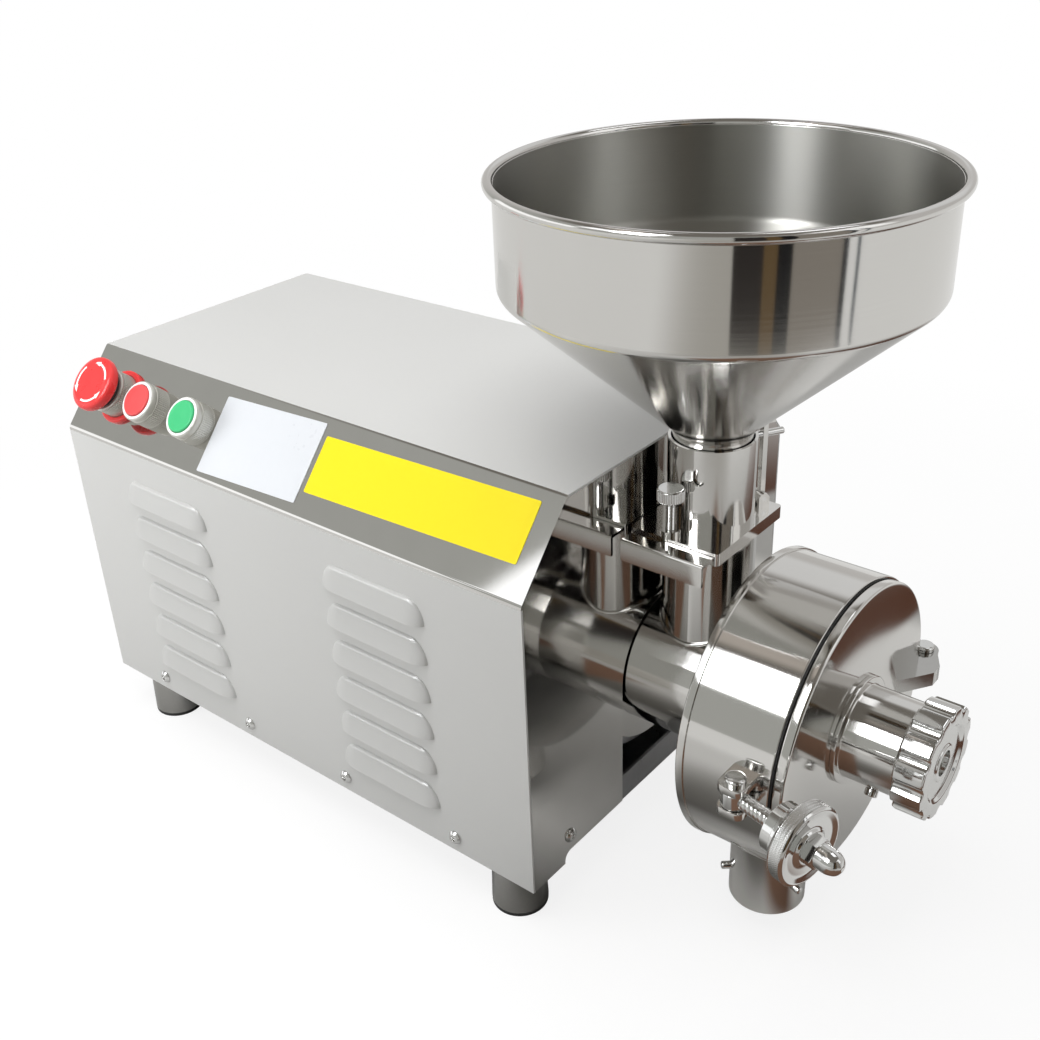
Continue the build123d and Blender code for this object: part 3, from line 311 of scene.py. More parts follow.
def finish(name, light, dark, metal, rough, swing, scale, stretch=(1.0, 1.0, 1.0), bump=0.05,
           relief=0.0002, coords="Object", fleck=None, **constants):
    """Noise stretched along the grain moves the colour between two tones, the roughness about its mean and
    the height of the bump; a second, broader noise adds the uneven patches of a used surface. A grain on
    UV coordinates also turns the highlights with the UV map."""
    material, tree = new_material(name)
    links = tree.links
    shader = tree.nodes["Principled BSDF"]
    shader.inputs["Metallic"].default_value = metal
    for socket, value in constants.items():
        shader.inputs[socket.replace("_", " ")].default_value = value
    place = tree.nodes.new("ShaderNodeTexCoord").outputs
    mapping = add_node(tree, "ShaderNodeMapping", {"Vector": place[coords], "Scale": stretch})
    grain = noise(tree, mapping.outputs["Vector"], scale, 5.0)
    broad = noise(tree, place["Object"], PATCHES, 3.0)
    share = reckon(tree, "MULTIPLY_ADD", grain, 0.5, reckon(tree, "MULTIPLY", broad, 0.5))
    colour = blend(tree, share, dark, light)
    if fleck is not None:
        tone, count = fleck
        spots = add_node(tree, "ShaderNodeTexVoronoi", {"Vector": place["Object"], "Scale": count})
        near = ramp(tree, spots.outputs["Distance"], *FLECK_RIM, kind="LINEAR")
        colour = blend(tree, near, colour, tone)
    links.new(colour, shader.inputs["Base Color"])
    gloss = ramp(tree, share, 0.25, 0.75, max(0.0, rough - swing), rough + swing, "LINEAR")
    links.new(gloss, shader.inputs["Roughness"])
    rise = add_node(tree, "ShaderNodeBump", {"Strength": bump, "Distance": relief, "Height": grain})
    links.new(rise.outputs["Normal"], shader.inputs["Normal"])
    if coords == "UV":
        tangent = add_node(tree, "ShaderNodeTangent", {}, direction_type="UV_MAP", uv_map="UVMap")
        links.new(tangent.outputs["Tangent"], shader.inputs["Tangent"])
    return material


STEEL = ((0.70, 0.69, 0.67), (0.62, 0.61, 0.59), 1.0)
BRUSHED = (0.02, 1.0, 1.0)
ROUND_GRAIN = {"scale": 1.0, "relief": 0.0001, "coords": "UV", "Anisotropic_Rotation": 0.25}

matt_sheet = finish("matt_sheet", (0.63, 0.632, 0.622), (0.60, 0.602, 0.592), 0.2, 0.38, 0.05, 900.0,
                    BRUSHED, 0.03)
# The louvres' sheet is the matt sheet with its tones darkened: painted shade on the louvres.
louvre_shaded_sheet = finish("louvre_shaded_sheet", (0.575, 0.577, 0.567), (0.545, 0.547, 0.537), 0.2, 0.38, 0.05, 900.0,
                       BRUSHED, 0.03)
mirror_sheet = finish("mirror_sheet", *STEEL, 0.05, 0.02, 60.0, bump=0.02)
polished = finish("polished_steel", *STEEL, 0.09, 0.04, 300.0, bump=0.03)
spun = finish("spun_steel", *STEEL, 0.11, 0.03, stretch=(4.0, 2500.0, 1.0), bump=0.06,
              Anisotropic=0.95, **ROUND_GRAIN)
# Hopper inside: brushed and rougher, which is real, and darker than the outside steel, which is painted
# shade.
brushed_shaded_inside = finish("brushed_shaded_inside", (0.47, 0.465, 0.435), (0.39, 0.385, 0.36), 1.0, 0.36, 0.04,
                        stretch=(4.0, 2500.0, 1.0), bump=0.06, Anisotropic=0.95, **ROUND_GRAIN)
lathe = finish("lathe_steel", *STEEL, 0.09, 0.03, stretch=(3.0, 3000.0, 1.0), bump=0.05,
               Anisotropic=0.8, **ROUND_GRAIN)
chromed = finish("chromed", (0.72, 0.72, 0.71), (0.64, 0.64, 0.63), 1.0, 0.09, 0.03, 400.0, bump=0.03)
# Chrome darkened for the foot cups: painted shade under the housing.
shaded_foot_chrome = finish("shaded_foot_chrome", (0.44, 0.435, 0.42), (0.36, 0.355, 0.34), 1.0, 0.09, 0.03, 300.0, bump=0.03)
screw_steel = finish("screw_steel", (0.78, 0.78, 0.77), (0.66, 0.66, 0.65), 1.0, 0.12, 0.04, 400.0)
hinge_steel = finish("hinge_steel", (0.50, 0.495, 0.48), (0.40, 0.395, 0.38), 1.0, 0.14, 0.04, 300.0,
                     bump=0.04)
dark_steel = finish("dark_steel", (0.42, 0.42, 0.43), (0.30, 0.30, 0.31), 1.0, 0.3, 0.08, 300.0)
black_rubber = finish("black_rubber", (0.035, 0.035, 0.035), (0.02, 0.02, 0.02), 0.0, 0.7, 0.1, 500.0,
                      bump=0.2)
black_plastic = finish("black_plastic", (0.05, 0.05, 0.052), (0.03, 0.03, 0.032), 0.0, 0.45, 0.1, 800.0,
                       bump=0.1)
motor_paint = finish("motor_paint", (0.22, 0.26, 0.30), (0.18, 0.21, 0.25), 0.0, 0.4, 0.08, 250.0, bump=0.1)
alloy = finish("machined_alloy", (0.70, 0.70, 0.71), (0.60, 0.60, 0.61), 1.0, 0.35, 0.08, 400.0)
core_iron = finish("core_iron", (0.16, 0.15, 0.14), (0.10, 0.10, 0.10), 0.8, 0.5, 0.1, 900.0,
                   (60.0, 1.0, 1.0))
mill_stone = finish("mill_stone", (0.66, 0.62, 0.55), (0.50, 0.46, 0.40), 0.0, 0.9, 0.05, 260.0, bump=0.6,
                    relief=0.0008, fleck=((0.28, 0.25, 0.22), 300.0))
red_plastic = finish("red_plastic", (0.74, 0.04, 0.04), (0.70, 0.034, 0.036), 0.0, 0.28, 0.04, 90.0,
                     bump=0.01)
cap_red = finish("cap_red", (0.76, 0.085, 0.085), (0.72, 0.07, 0.075), 0.0, 0.35, 0.04, 90.0, bump=0.01)
cap_green = finish("cap_green", (0.05, 0.49, 0.19), (0.045, 0.45, 0.175), 0.0, 0.35, 0.04, 90.0, bump=0.01)
button_metal = finish("button_metal", (0.66, 0.655, 0.61), (0.55, 0.545, 0.50), 0.55, 0.32, 0.08, 900.0)
white_paint = finish("white_paint", (0.93, 0.93, 0.93), (0.86, 0.86, 0.86), 0.0, 0.4, 0.05, 500.0, bump=0.02)
plate_white = finish("plate_white", (0.66, 0.68, 0.71), (0.62, 0.64, 0.67), 0.0, 0.3, 0.05, 200.0, bump=0.02)
plate_yellow = finish("plate_yellow", (0.84, 0.69, 0.004), (0.80, 0.655, 0.003), 0.0, 0.4, 0.05, 200.0,
                      bump=0.02)

FINISH_NODES = (
    (matt_sheet, "housing_cover"),
    (mirror_sheet, "left_end_panel right_end_panel"),
    (polished, "stone_disc feed_barrel inlet_flange hopper_socket feed_gate hopper lock_lever grinding_drum "
               "drum_back outlet_pipe chamber_cover cover_hub stone_carrier"),
    (chromed, "shaft_bearings stone_nut thumb_screw lock_pin lock_pivot outlet_screws hub_screw hinge_pin "
              "adjusting_knob knob_spindle latch_pin swing_bolt clamp_washer knurled_nut cap_nut"),
    # The foot cups' darker chrome is painted shade.
    (shaded_foot_chrome, "foot_cups"),
    (screw_steel, "housing_screws"),
    (hinge_steel, "hinge_arm"),
    (dark_steel, "base_tray drive_shaft feed_auger"),
    (black_rubber, "foot_pads cover_seal"),
    (black_plastic, "cable_gland run_capacitor cooling_fan estop_plunger contact_blocks"),
    (motor_paint, "motor_shell motor_rear_bell fan_cowl motor_saddles"),
    (alloy, "motor_front_flange"),
    (core_iron, "stator rotor_core"),
    (mill_stone, "running_stone fixed_stone"),
    (red_plastic, "estop_ring estop_head"),
    (cap_red, "stop_cap"),
    (cap_green, "start_cap"),
    (button_metal, "estop_body stop_body start_body"),
)
SHARP_EDGE = math.radians(30.0)


def soft_edges():
    """Node group that merges a CAD node's loose triangles and shades it smooth, apart from sharp edges."""
    group = bpy.data.node_groups.new("soft_edges", "GeometryNodeTree")
    for way in ("INPUT", "OUTPUT"):
        group.interface.new_socket("Geometry", in_out=way, socket_type="NodeSocketGeometry")
    source = group.nodes.new("NodeGroupInput").outputs[0]
    merge = add_node(group, "GeometryNodeMergeByDistance", {"Geometry": source, "Distance": 2e-6})
    whole = add_node(group, "GeometryNodeSetShadeSmooth", {0: merge.outputs[0], "Shade Smooth": True})
    angle = group.nodes.new("GeometryNodeInputMeshEdgeAngle").outputs["Unsigned Angle"]
    sharp = add_node(group, "FunctionNodeCompare", {"A": angle, "B": SHARP_EDGE}, operation="GREATER_THAN")
    inputs = {0: whole.outputs[0], "Selection": sharp.outputs["Result"], "Shade Smooth": False}
    edges = add_node(group, "GeometryNodeSetShadeSmooth", inputs, domain="EDGE")
    group.links.new(edges.outputs[0], group.nodes.new("NodeGroupOutput").inputs[0])
    return group


SOFT_EDGES = soft_edges()


def dress_nodes():
    """Each CAD node gets its finish and soft edges."""
    for material, names in FINISH_NODES:
        for name in names.split():
            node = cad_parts[name]
            node.data.materials.clear()
            node.data.materials.append(material)
            node.modifiers.new("soft_edges", "NODES").node_group = SOFT_EDGES


# Camera, floor and light

CAMERA_PLACE = (810.86, -592.85, 619.86)
CAMERA_TURN = (61.507, 2.237, 38.991)
CAMERA_LENS = 43.906

# The room as polished steel sees it. A soft box is: azimuth, elevation and its half width and half height
# in degrees, softness of its edge, tone.
WHITE = (1.0, 1.0, 1.0)
ROOM_BACK = (0.62, 0.605, 0.59)
ROOM_FRONT = (0.465, 0.47, 0.445)
ROOM_TOP = (0.20, 0.185, 0.165)
ROOM_GREY = (0.42, 0.42, 0.417)
SOFT_BOXES = (
    (-120.0, 38.0, 10.4, 11.0, 0.008, (1.7, 1.72, 1.75)),
    (-158.0, 9.0, 30.0, 11.0, 0.03, (1.4, 1.41, 1.42)),
    (194.0, 67.0, 22.0, 5.0, 0.05, (0.55, 0.50, 0.45)),
    (75.0, 66.0, 9.0, 10.0, 0.02, (1.9, 1.92, 1.97)),
    (158.0, 66.0, 5.0, 10.0, 0.02, (1.0, 1.0, 1.02)),
    (10.0, 35.0, 14.0, 18.0, 0.05, (1.3, 1.3, 1.3)),
    (100.0, 30.0, 25.0, 14.0, 0.08, (0.8, 0.8, 0.8)),
    (-103.0, 41.0, 8.6, 13.0, 0.02, (13.0, 13.15, 13.5)),
)

# The floor as other rays than the camera's meet it: a grey darker than the white the eye sees, with painted
# areas, a pale one of painted light under the drum, brown ones painted as reflections of a room and a dark
# one of painted shade in front of the drum. An area is: tone, limits to the right, direction of its other
# limits and these, in metres.
FLOOR_GREY = (0.52, 0.517, 0.507)
# Far off the floor glows for other rays, dimmer towards the camera: a painted glow and a painted dim
# reflection.
FLOOR_FAR = (0.83, 0.827, 0.813)
FLOOR_FACING = (0.45, 0.435, 0.40)
RIGHT = (1.0, 0.0, 0.0)
BACK = (0.0, 1.0, 0.0)
BACK_RIGHT = (0.932, 0.362, 0.0)
FRONT_RIGHT = (0.707, -0.707, 0.0)
PAINTED_FLOOR_AREAS = (
    ((0.90, 0.895, 0.88), (0.13, 0.17, 0.50, 0.56), BACK, (-0.09, -0.05, 0.33, 0.37)),
    ((0.125, 0.06, 0.04), (0.24, 0.30, 0.56, 0.64), BACK_RIGHT, (0.454, 0.468, 0.90, 1.00)),
    ((0.16, 0.155, 0.145), (0.06, 0.16, 0.30, 0.36), BACK, (-0.44, -0.14, -0.12, -0.08)),
    ((0.20, 0.12, 0.085), (0.25, 0.28, 0.52, 0.60), BACK, (-0.45, -0.36, -0.05, -0.02)),
)
FLOOR_HALF = 30000.0

# Upright cards that only polished steel sees: name, two feet in millimetres, tone.
CARD_HEIGHT = 1100.0
CARDS = (
    ("dark_card", (1055, -817), (1200, -639), (0.03, 0.026, 0.024)),
    ("amber_card", (1200, -639), (1265, -559), (0.13, 0.085, 0.04)),
    ("black_card", (1265, -559), (1338, -469), (0.012, 0.012, 0.013)),
    ("brown_card", (1338, -469), (1470, -90), (0.26, 0.235, 0.205)),
    ("dark_strip", (1470, -90), (1484, -42), (0.03, 0.03, 0.032)),
    ("blue_strip", (1508, 40), (1517, 70), (0.02, 0.035, 0.05)),
)

# Soft lamps: name, place in millimetres, turn in degrees, size in metres, power.
LAMPS = (
    ("top_box", (150, -300, 1600), (0.0, 0.0, 0.0), 1.4, 22.0),
    ("side_box", (-220, -640, 400), (75.0, 0.0, -45.0), 0.4, 2.3),
)


def soft_box(tree, vector, azimuth, elevation, half_wide, half_tall, soft):
    """Mask of an upright oblong in the sky, from the angles of its middle and its half sizes in degrees."""
    az, el = math.radians(azimuth), math.radians(elevation)
    centre = (math.cos(el) * math.cos(az), math.cos(el) * math.sin(az), math.sin(el))
    level = (-math.sin(az), math.cos(az), 0.0)
    upright = tuple(np.cross(centre, level))
    mask = ramp(tree, along(tree, vector, centre), 0.0, 0.1)
    for axis, half in ((level, half_wide), (upright, half_tall)):
        edge = math.sin(math.radians(half))
        off = reckon(tree, "ABSOLUTE", along(tree, vector, axis))
        mask = reckon(tree, "MULTIPLY", mask, ramp(tree, off, edge + soft, edge - soft))
    return mask


def make_room(world):
    """Room: white to the eye and grey for diffuse light; polished steel sees a ceiling, a dim front and soft
    boxes."""
    world.use_nodes = True
    tree = world.node_tree
    place = tree.nodes.new("ShaderNodeTexCoord").outputs["Generated"]
    ahead = ramp(tree, along(tree, place, (-0.45, -0.89, 0.0)), -0.2, 0.4)
    colour = blend(tree, ahead, ROOM_BACK, ROOM_FRONT)
    colour = blend(tree, ramp(tree, along(tree, place, UP), 0.62, 0.80), colour, ROOM_TOP)
    for *box, tone in SOFT_BOXES:
        colour = blend(tree, soft_box(tree, place, *box), colour, tone)
    path = tree.nodes.new("ShaderNodeLightPath")
    colour = blend(tree, path.outputs["Is Glossy Ray"], ROOM_GREY, colour)
    colour = blend(tree, path.outputs["Is Camera Ray"], colour, WHITE)
    tree.links.new(colour, tree.nodes["Background"].inputs["Color"])


def plain_sheet(name, corners, material):
    """Flat four-cornered sheet of the stage, from corners in millimetres."""
    mesh = bpy.data.meshes.new(name)
    mesh.from_pydata(row_frame(corners).tolist(), [], [(0, 1, 2, 3)])
    mesh.materials.append(material)
    sheet = bpy.data.objects.new(name, mesh)
    bpy.context.scene.collection.objects.link(sheet)
    return sheet


def make_cards():
    """Upright cards beside the camera, seen by reflections alone."""
    for name, start, end, tone in CARDS:
        material, tree = new_material(name)
        tree.links.new(glow(tree, tone), tree.nodes["Material Output"].inputs["Surface"])
        corners = [(*start, 0), (*end, 0), (*end, CARD_HEIGHT), (*start, CARD_HEIGHT)]
        card = plain_sheet(name, corners, material)
        card.visible_camera = card.visible_diffuse = card.visible_shadow = False


def make_floor():
    """Pale floor: white with a faint shadow near the mill to the eye; other rays meet a lit grey with painted
    areas (pale painted light, brown painted reflections, dark painted shade), and further off a painted glow
    that is dimmer towards the camera."""
    material, tree = new_material("floor")
    shader = tree.nodes["Principled BSDF"]
    shader.inputs["Base Color"].default_value = (0.97, 0.97, 0.97, 1.0)
    shader.inputs["Roughness"].default_value = 0.9
    shader.inputs["Specular IOR Level"].default_value = 0.0
    place = tree.nodes.new("ShaderNodeTexCoord").outputs["Object"]
    far = add_node(tree, "ShaderNodeVectorMath", {0: place}, operation="LENGTH").outputs["Value"]
    heading = add_node(tree, "ShaderNodeVectorMath", {0: place}, operation="NORMALIZE").outputs["Vector"]
    # Painted light, reflections and shade on the floor that other rays meet.
    colour = FLOOR_GREY
    for tone, across, direction, deep in PAINTED_FLOOR_AREAS:
        wide = between(tree, along(tree, place, RIGHT), across)
        area = reckon(tree, "MULTIPLY", wide, between(tree, along(tree, place, direction), deep))
        colour = blend(tree, area, colour, tone)
    lit = add_node(tree, "ShaderNodeBsdfDiffuse", {"Color": colour}).outputs[0]
    facing = ramp(tree, along(tree, heading, FRONT_RIGHT), 0.78, 1.0)
    dim = glow(tree, blend(tree, facing, FLOOR_FAR, FLOOR_FACING))
    grey = mixed(tree, ramp(tree, far, 0.55, 0.95), lit, dim)
    share = ramp(tree, far, 0.40, 0.90, low=0.84, kind="LINEAR")
    pale = mixed(tree, share, shader.outputs[0], glow(tree, WHITE))
    path = tree.nodes.new("ShaderNodeLightPath")
    seen = mixed(tree, path.outputs["Is Camera Ray"], grey, pale)
    tree.links.new(seen, tree.nodes["Material Output"].inputs["Surface"])
    half = FLOOR_HALF
    plain_sheet("floor", [(-half, -half, 0), (half, -half, 0), (half, half, 0), (-half, half, 0)], material)


def set_stage():
    """Camera at the photograph's place, room, floor, cards and two soft lamps."""
    scene = bpy.context.scene
    scene.view_settings.view_transform = "Standard"
    camera = bpy.data.cameras.new("camera")
    camera.lens = CAMERA_LENS
    camera.clip_start = 0.02
    camera.clip_end = 200.0
    view = bpy.data.objects.new("camera", camera)
    view.location = row_frame(CAMERA_PLACE)
    view.rotation_euler = [math.radians(a) for a in CAMERA_TURN]
    scene.collection.objects.link(view)
    scene.camera = view
    scene.world = bpy.data.worlds.new("room")
    make_room(scene.world)
    make_floor()
    make_cards()
    for name, place, tilt, size, power in LAMPS:
        light = bpy.data.lights.new(name, "AREA")
        light.size = size
        light.energy = power
        lamp = bpy.data.objects.new(name, light)
        lamp.location = row_frame(place)
        lamp.rotation_euler = [math.radians(a) for a in tilt]
        lamp.visible_glossy = False
        scene.collection.objects.link(lamp)


# Mill head. A profile's points are (along the axis, radius, rounding).

NECK_FLANGE = 62.0
NECK_FLANGE_THICK = 8.0
SHAFT_HOLE = 13.0
NECK_RADIUS = 46.0
NECK_BORE = 38.0
NECK_WALL = 424.0
DRUM_START = 500.0
DRUM_END = 560.0
DRUM_RADIUS = 94.0
DRUM_BORE = 90.0
DRUM_BACK_RADIUS = 95.2
COVER_START = 561.2
COVER_END = 568.0
COVER_RADIUS = 92.5
COVER_BORE = 18.3
HUB_END = 605.0
HUB_RADIUS = 29.5
HUB_FLANGE = 34.5
HUB_BORE = 18.05
SPINDLE_HOLE = 8.05
INLET_RADIUS = 28.5
INLET_TOP = GROUND_GAP + 209.0
OUTLET = (535.5, -38.0)
OUTLET_RADIUS = 24.0
OUTLET_END = 18.0
PIPE_WALL = 2.0
PIPE_TURNS = 128
WELD_PROUD = 0.1
HINGE = (567.0, 102.0)
HINGE_LUG_TOP = MILL_Z - 9.3
HINGE_LUG_THICK = 10.0
LATCH = (545.5, -105.0, MILL_Z + 9.0)
LATCH_LUG_HALF = 8.5
LATCH_LUG_ROOT = -84.0
LATCH_LUG_GAP = 5.4
LATCH_LUG_THICK = 5.0


def about_mill(corners, turns, radius=None):
    """Rounded profile turned about the mill axis."""
    return turned(rounded(corners), MILL_ORIGIN, MILL_AXIS, turns, radius)


def saddle_height(y, host_radius, above):
    """Height of a level cylinder round the mill axis: the axis plus or minus the root of the host radius
    squared less y squared."""
    root = np.sqrt(np.maximum(host_radius ** 2 - y ** 2, 0.0))
    return MILL_Z + root if above else MILL_Z - root


def saddle_pipe(x, y, outer, end_z, host_radius, above):
    """Upright pipe from a flat end to a saddle on a level cylinder. Its wall is a loop of six rims, three
    outside and three inside."""
    angle = circle(PIPE_TURNS)
    inner = outer - PIPE_WALL
    rims = []
    for radius, share in ((outer, 0), (outer, .02), (outer, 1), (inner, 1), (inner, .02), (inner, 0)):
        px, py = x + radius * np.cos(angle), y + radius * np.sin(angle)
        seat = saddle_height(py, host_radius, above)
        rims.append(np.stack([px, py, end_z + (seat - end_z) * share], axis=1))
    return np.stack(rims)


def saddle_weld(x, y, outer, host_radius, above, bead):
    """Weld bead along the curve where that pipe meets the cylinder."""
    angle = circle(PIPE_TURNS)
    radius = outer + WELD_PROUD
    px, py = x + radius * np.cos(angle), y + radius * np.sin(angle)
    return tube_along(np.stack([px, py, saddle_height(py, host_radius, above)], axis=1), bead)


def make_neck():
    """Feed neck with its flange inside the housing, and the inlet pipe welded on it."""
    back = NECK_WALL - NECK_FLANGE_THICK
    neck = about_mill([
        (back, SHAFT_HOLE, .3), (NECK_WALL, SHAFT_HOLE, .3), (NECK_WALL, NECK_BORE, .3),
        (DRUM_START, NECK_BORE, .3), (DRUM_START, NECK_RADIUS, .3), (NECK_WALL, NECK_RADIUS, .3),
        (NECK_WALL, NECK_FLANGE, .3), (back, NECK_FLANGE, .3)], 160)
    pipe = saddle_pipe(INLET_X, 0.0, INLET_RADIUS, INLET_TOP, NECK_RADIUS - 0.5, True)
    weld = saddle_weld(INLET_X, 0.0, INLET_RADIUS, NECK_RADIUS, True, 1.3)
    make_piece("feed_neck", [(neck, True, True), (pipe, True, True), (weld, True, True)], "base", lathe,
               ["feed_barrel"])


def make_drum():
    """Drum with its back, outlet pipe, hinge lug and the two lugs of the latch."""
    back, rim = DRUM_START + 4, DRUM_START + 5
    drum = about_mill([
        (DRUM_START, NECK_BORE, .3), (DRUM_START, DRUM_BACK_RADIUS, .8), (rim, DRUM_BACK_RADIUS, .5),
        (rim, DRUM_RADIUS, .3), (DRUM_END, DRUM_RADIUS, .8), (DRUM_END, DRUM_BORE, .5),
        (back, DRUM_BORE, .5), (back, NECK_BORE, .3)], 256)
    outlet = saddle_pipe(*OUTLET, OUTLET_RADIUS, OUTLET_END, DRUM_RADIUS - 1, False)
    weld = saddle_weld(*OUTLET, OUTLET_RADIUS, DRUM_RADIUS, False, 1.2)
    hx, hy = HINGE
    plan = rounded([
        (hx - 32, hy - 22, .5), (hx - 9, hy - 22, .5), (hx - 9, hy - 6, 2), (hx, hy - 9, 4),
        (hx + 9, hy - 7, 5), (hx + 9, hy + 7, 6), (hx, hy + 9, 4), (hx - 32, hy + 9, 2)])
    lug = slab(plan, HINGE_LUG_TOP - HINGE_LUG_THICK, HINGE_LUG_TOP)
    grids = [(drum, True, True), (outlet, True, True), (weld, True, True), (lug, False, True)]
    left, right = LATCH[0] - LATCH_LUG_HALF, LATCH[0] + LATCH_LUG_HALF
    nose, root = LATCH[1] - LATCH_LUG_HALF, LATCH_LUG_ROOT
    plan = rounded([(left, nose, 6), (right, nose, 6), (right, root, .5), (left, root, .5)])
    for low in (LATCH[2] - LATCH_LUG_GAP - LATCH_LUG_THICK, LATCH[2] + LATCH_LUG_GAP):
        grids.append((slab(plan, low, low + LATCH_LUG_THICK), False, True))
    make_piece("milling_drum", grids, "base", lathe,
               ["grinding_drum", "drum_back", "outlet_pipe"])


def make_cover():
    """Chamber cover and the hub on it."""
    cover = about_mill([
        (COVER_START, COVER_BORE, .3), (COVER_START, COVER_RADIUS, 1.6), (COVER_END, COVER_RADIUS, 2.2),
        (COVER_END, COVER_BORE, .3)], 256)
    make_piece("drum_cover", [(cover, True, True)], "door", lathe, ["chamber_cover"])
    floor, flange = HUB_END - 5, COVER_END + 3
    hub = about_mill([
        (COVER_END, HUB_BORE, .2), (floor, HUB_BORE, .2), (floor, SPINDLE_HOLE, .2),
        (HUB_END, SPINDLE_HOLE, .3), (HUB_END, HUB_RADIUS, 1), (flange, HUB_RADIUS, .8),
        (flange, HUB_FLANGE, .8), (COVER_END, HUB_FLANGE, .3)], 160)
    make_piece("hub_barrel", [(hub, True, True)], "door", lathe, ["cover_hub"])


# Hopper

SPOUT_END = GROUND_GAP + 222.0
CONE_LOW = GROUND_GAP + 275.0
CONE_HIGH = GROUND_GAP + 364.0
HOPPER_TOP = GROUND_GAP + 423.0
HOPPER_RADIUS = 123.6
SPOUT_RADIUS = 24.0
HOPPER_WALL = 1.2
BEAD_RADIUS = 3.0
BEAD_OUT = 2.1


def make_hopper():
    """Spun funnel with a rolled rim; its inside is brushed, with a darker tone that is painted shade."""
    inner, inner_spout = HOPPER_RADIUS - HOPPER_WALL, SPOUT_RADIUS - HOPPER_WALL
    profile = rounded([
        (SPOUT_END, SPOUT_RADIUS, .3), (CONE_LOW, SPOUT_RADIUS, 5), (CONE_HIGH, HOPPER_RADIUS, 3),
        (HOPPER_TOP, HOPPER_RADIUS, .4), (HOPPER_TOP, inner, .4), (CONE_HIGH + 0.5, inner, 3),
        (CONE_LOW + 0.5, inner_spout, 5), (SPOUT_END, inner_spout, .3)], steps=8)
    foot = (INLET_X, 0, 0)
    angle = circle(20)
    bead = np.stack([HOPPER_TOP - 0.1 + BEAD_RADIUS * np.sin(angle),
                     HOPPER_RADIUS + BEAD_OUT + BEAD_RADIUS * np.cos(angle)], axis=1)
    grids = [(turned(line, foot, UP, 256), True, True) for line in (profile, bead)]
    funnel = make_piece("hopper_funnel", grids, "funnel", spun, ["hopper"])
    normal, middle = face_vectors(funnel)
    middle = middle - row_frame(foot)
    inwards = np.sum(normal[:, :2] * middle[:, :2], axis=1) < 0
    # The inside's darker tone is painted shade.
    second_finish(funnel, brushed_shaded_inside, inwards & (middle[:, 2] < (HOPPER_TOP - 4.0) / METRE))


# Knob, latch and thumb screw

KNOB_START = HUB_END + 0.5
KNOB_END = 624.5
KNOB_RADIUS = 35.2
KNOB_LOBES = 12
LATCH_SLACK = math.radians(13.0)
BOLT_AXIS = (math.cos(LATCH_SLACK), -math.sin(LATCH_SLACK), 0.0)
BOLT_RADIUS = 5.0
BOLT_HOLE = 5.05
NUT_START = 44.0
NUT_RADIUS = 24.0
CAP_START = 55.02
THUMB_PLACE = (INLET_X - 5.5, -36.0, 0.0)
THUMB_LOW = 249.0
THUMB_HEAD = 274.0
THUMB_RADIUS = 8.3
POLE = 0.02


def lobed(round_radius, count, scallop, depth):
    """Radius of a round with scallops: the smaller of the given radius and of the near side of the scallop
    circle, whose middle is at round radius plus scallop radius less the depth; inner parts of the profile
    stay round."""
    centre = round_radius + scallop - depth

    def shape(reach, angle, station):
        off = (angle + np.pi / count) % (2 * np.pi / count) - np.pi / count
        root = scallop ** 2 - (centre * np.sin(off)) ** 2
        notch = np.where(root > 0, centre * np.cos(off) - np.sqrt(np.maximum(root, 0.0)), round_radius)
        cut = reach - round_radius + np.minimum(notch, round_radius)
        return np.where(reach > round_radius - 2 * depth, cut, reach)
    return shape


def knurled(round_radius, count, depth, twist):
    """Radius of a knurled round: two crossing helical waves cut notches into the part at full radius."""
    def shape(reach, angle, station):
        wave = np.maximum(np.abs(np.sin(count / 2 * angle + twist * station)),
                          np.abs(np.sin(count / 2 * angle - twist * station)))
        return np.where(reach > round_radius - 0.02, reach - depth * wave, reach)
    return shape


def hexagonal(flats, round_radius):
    """Radius of a hexagon with its corners turned off to a round: flats over two over the cosine of the
    angle from the middle of a side, at most the profile's own radius; slim parts of the profile stay
    round."""
    def shape(reach, angle, station):
        side = angle % (np.pi / 3) - np.pi / 6
        return np.where(reach > round_radius, np.minimum(reach, flats / 2 / np.cos(side)), reach)
    return shape


def threaded(round_radius, pitch, depth):
    """Radius of a screw thread: a wave along the axis that moves on by one pitch in each turn."""
    def shape(reach, angle, station):
        wave = np.abs(((station / pitch - angle / (2 * np.pi)) % 1.0) * 2 - 1)
        return np.where(reach > round_radius - 0.02, reach - depth * wave, reach)
    return shape


def make_knob():
    """Twelve-lobed knob with a dished face."""
    dish, boss = KNOB_END - 2.1, KNOB_END - 1.1
    knob = about_mill([
        (KNOB_START, 8, .1), (KNOB_START, KNOB_RADIUS, 1.6), (KNOB_END, KNOB_RADIUS, 1.6), (KNOB_END, 25, .8),
        (dish, 22.5, .8), (dish, 12, .5), (boss, 11, .5), (boss, 8, .3)],
        360, lobed(KNOB_RADIUS, KNOB_LOBES, 5.6, 3.0))
    make_piece("lobed_knob", [(knob, True, True)], "knob", chromed, ["adjusting_knob"],
               smooth=50.0)


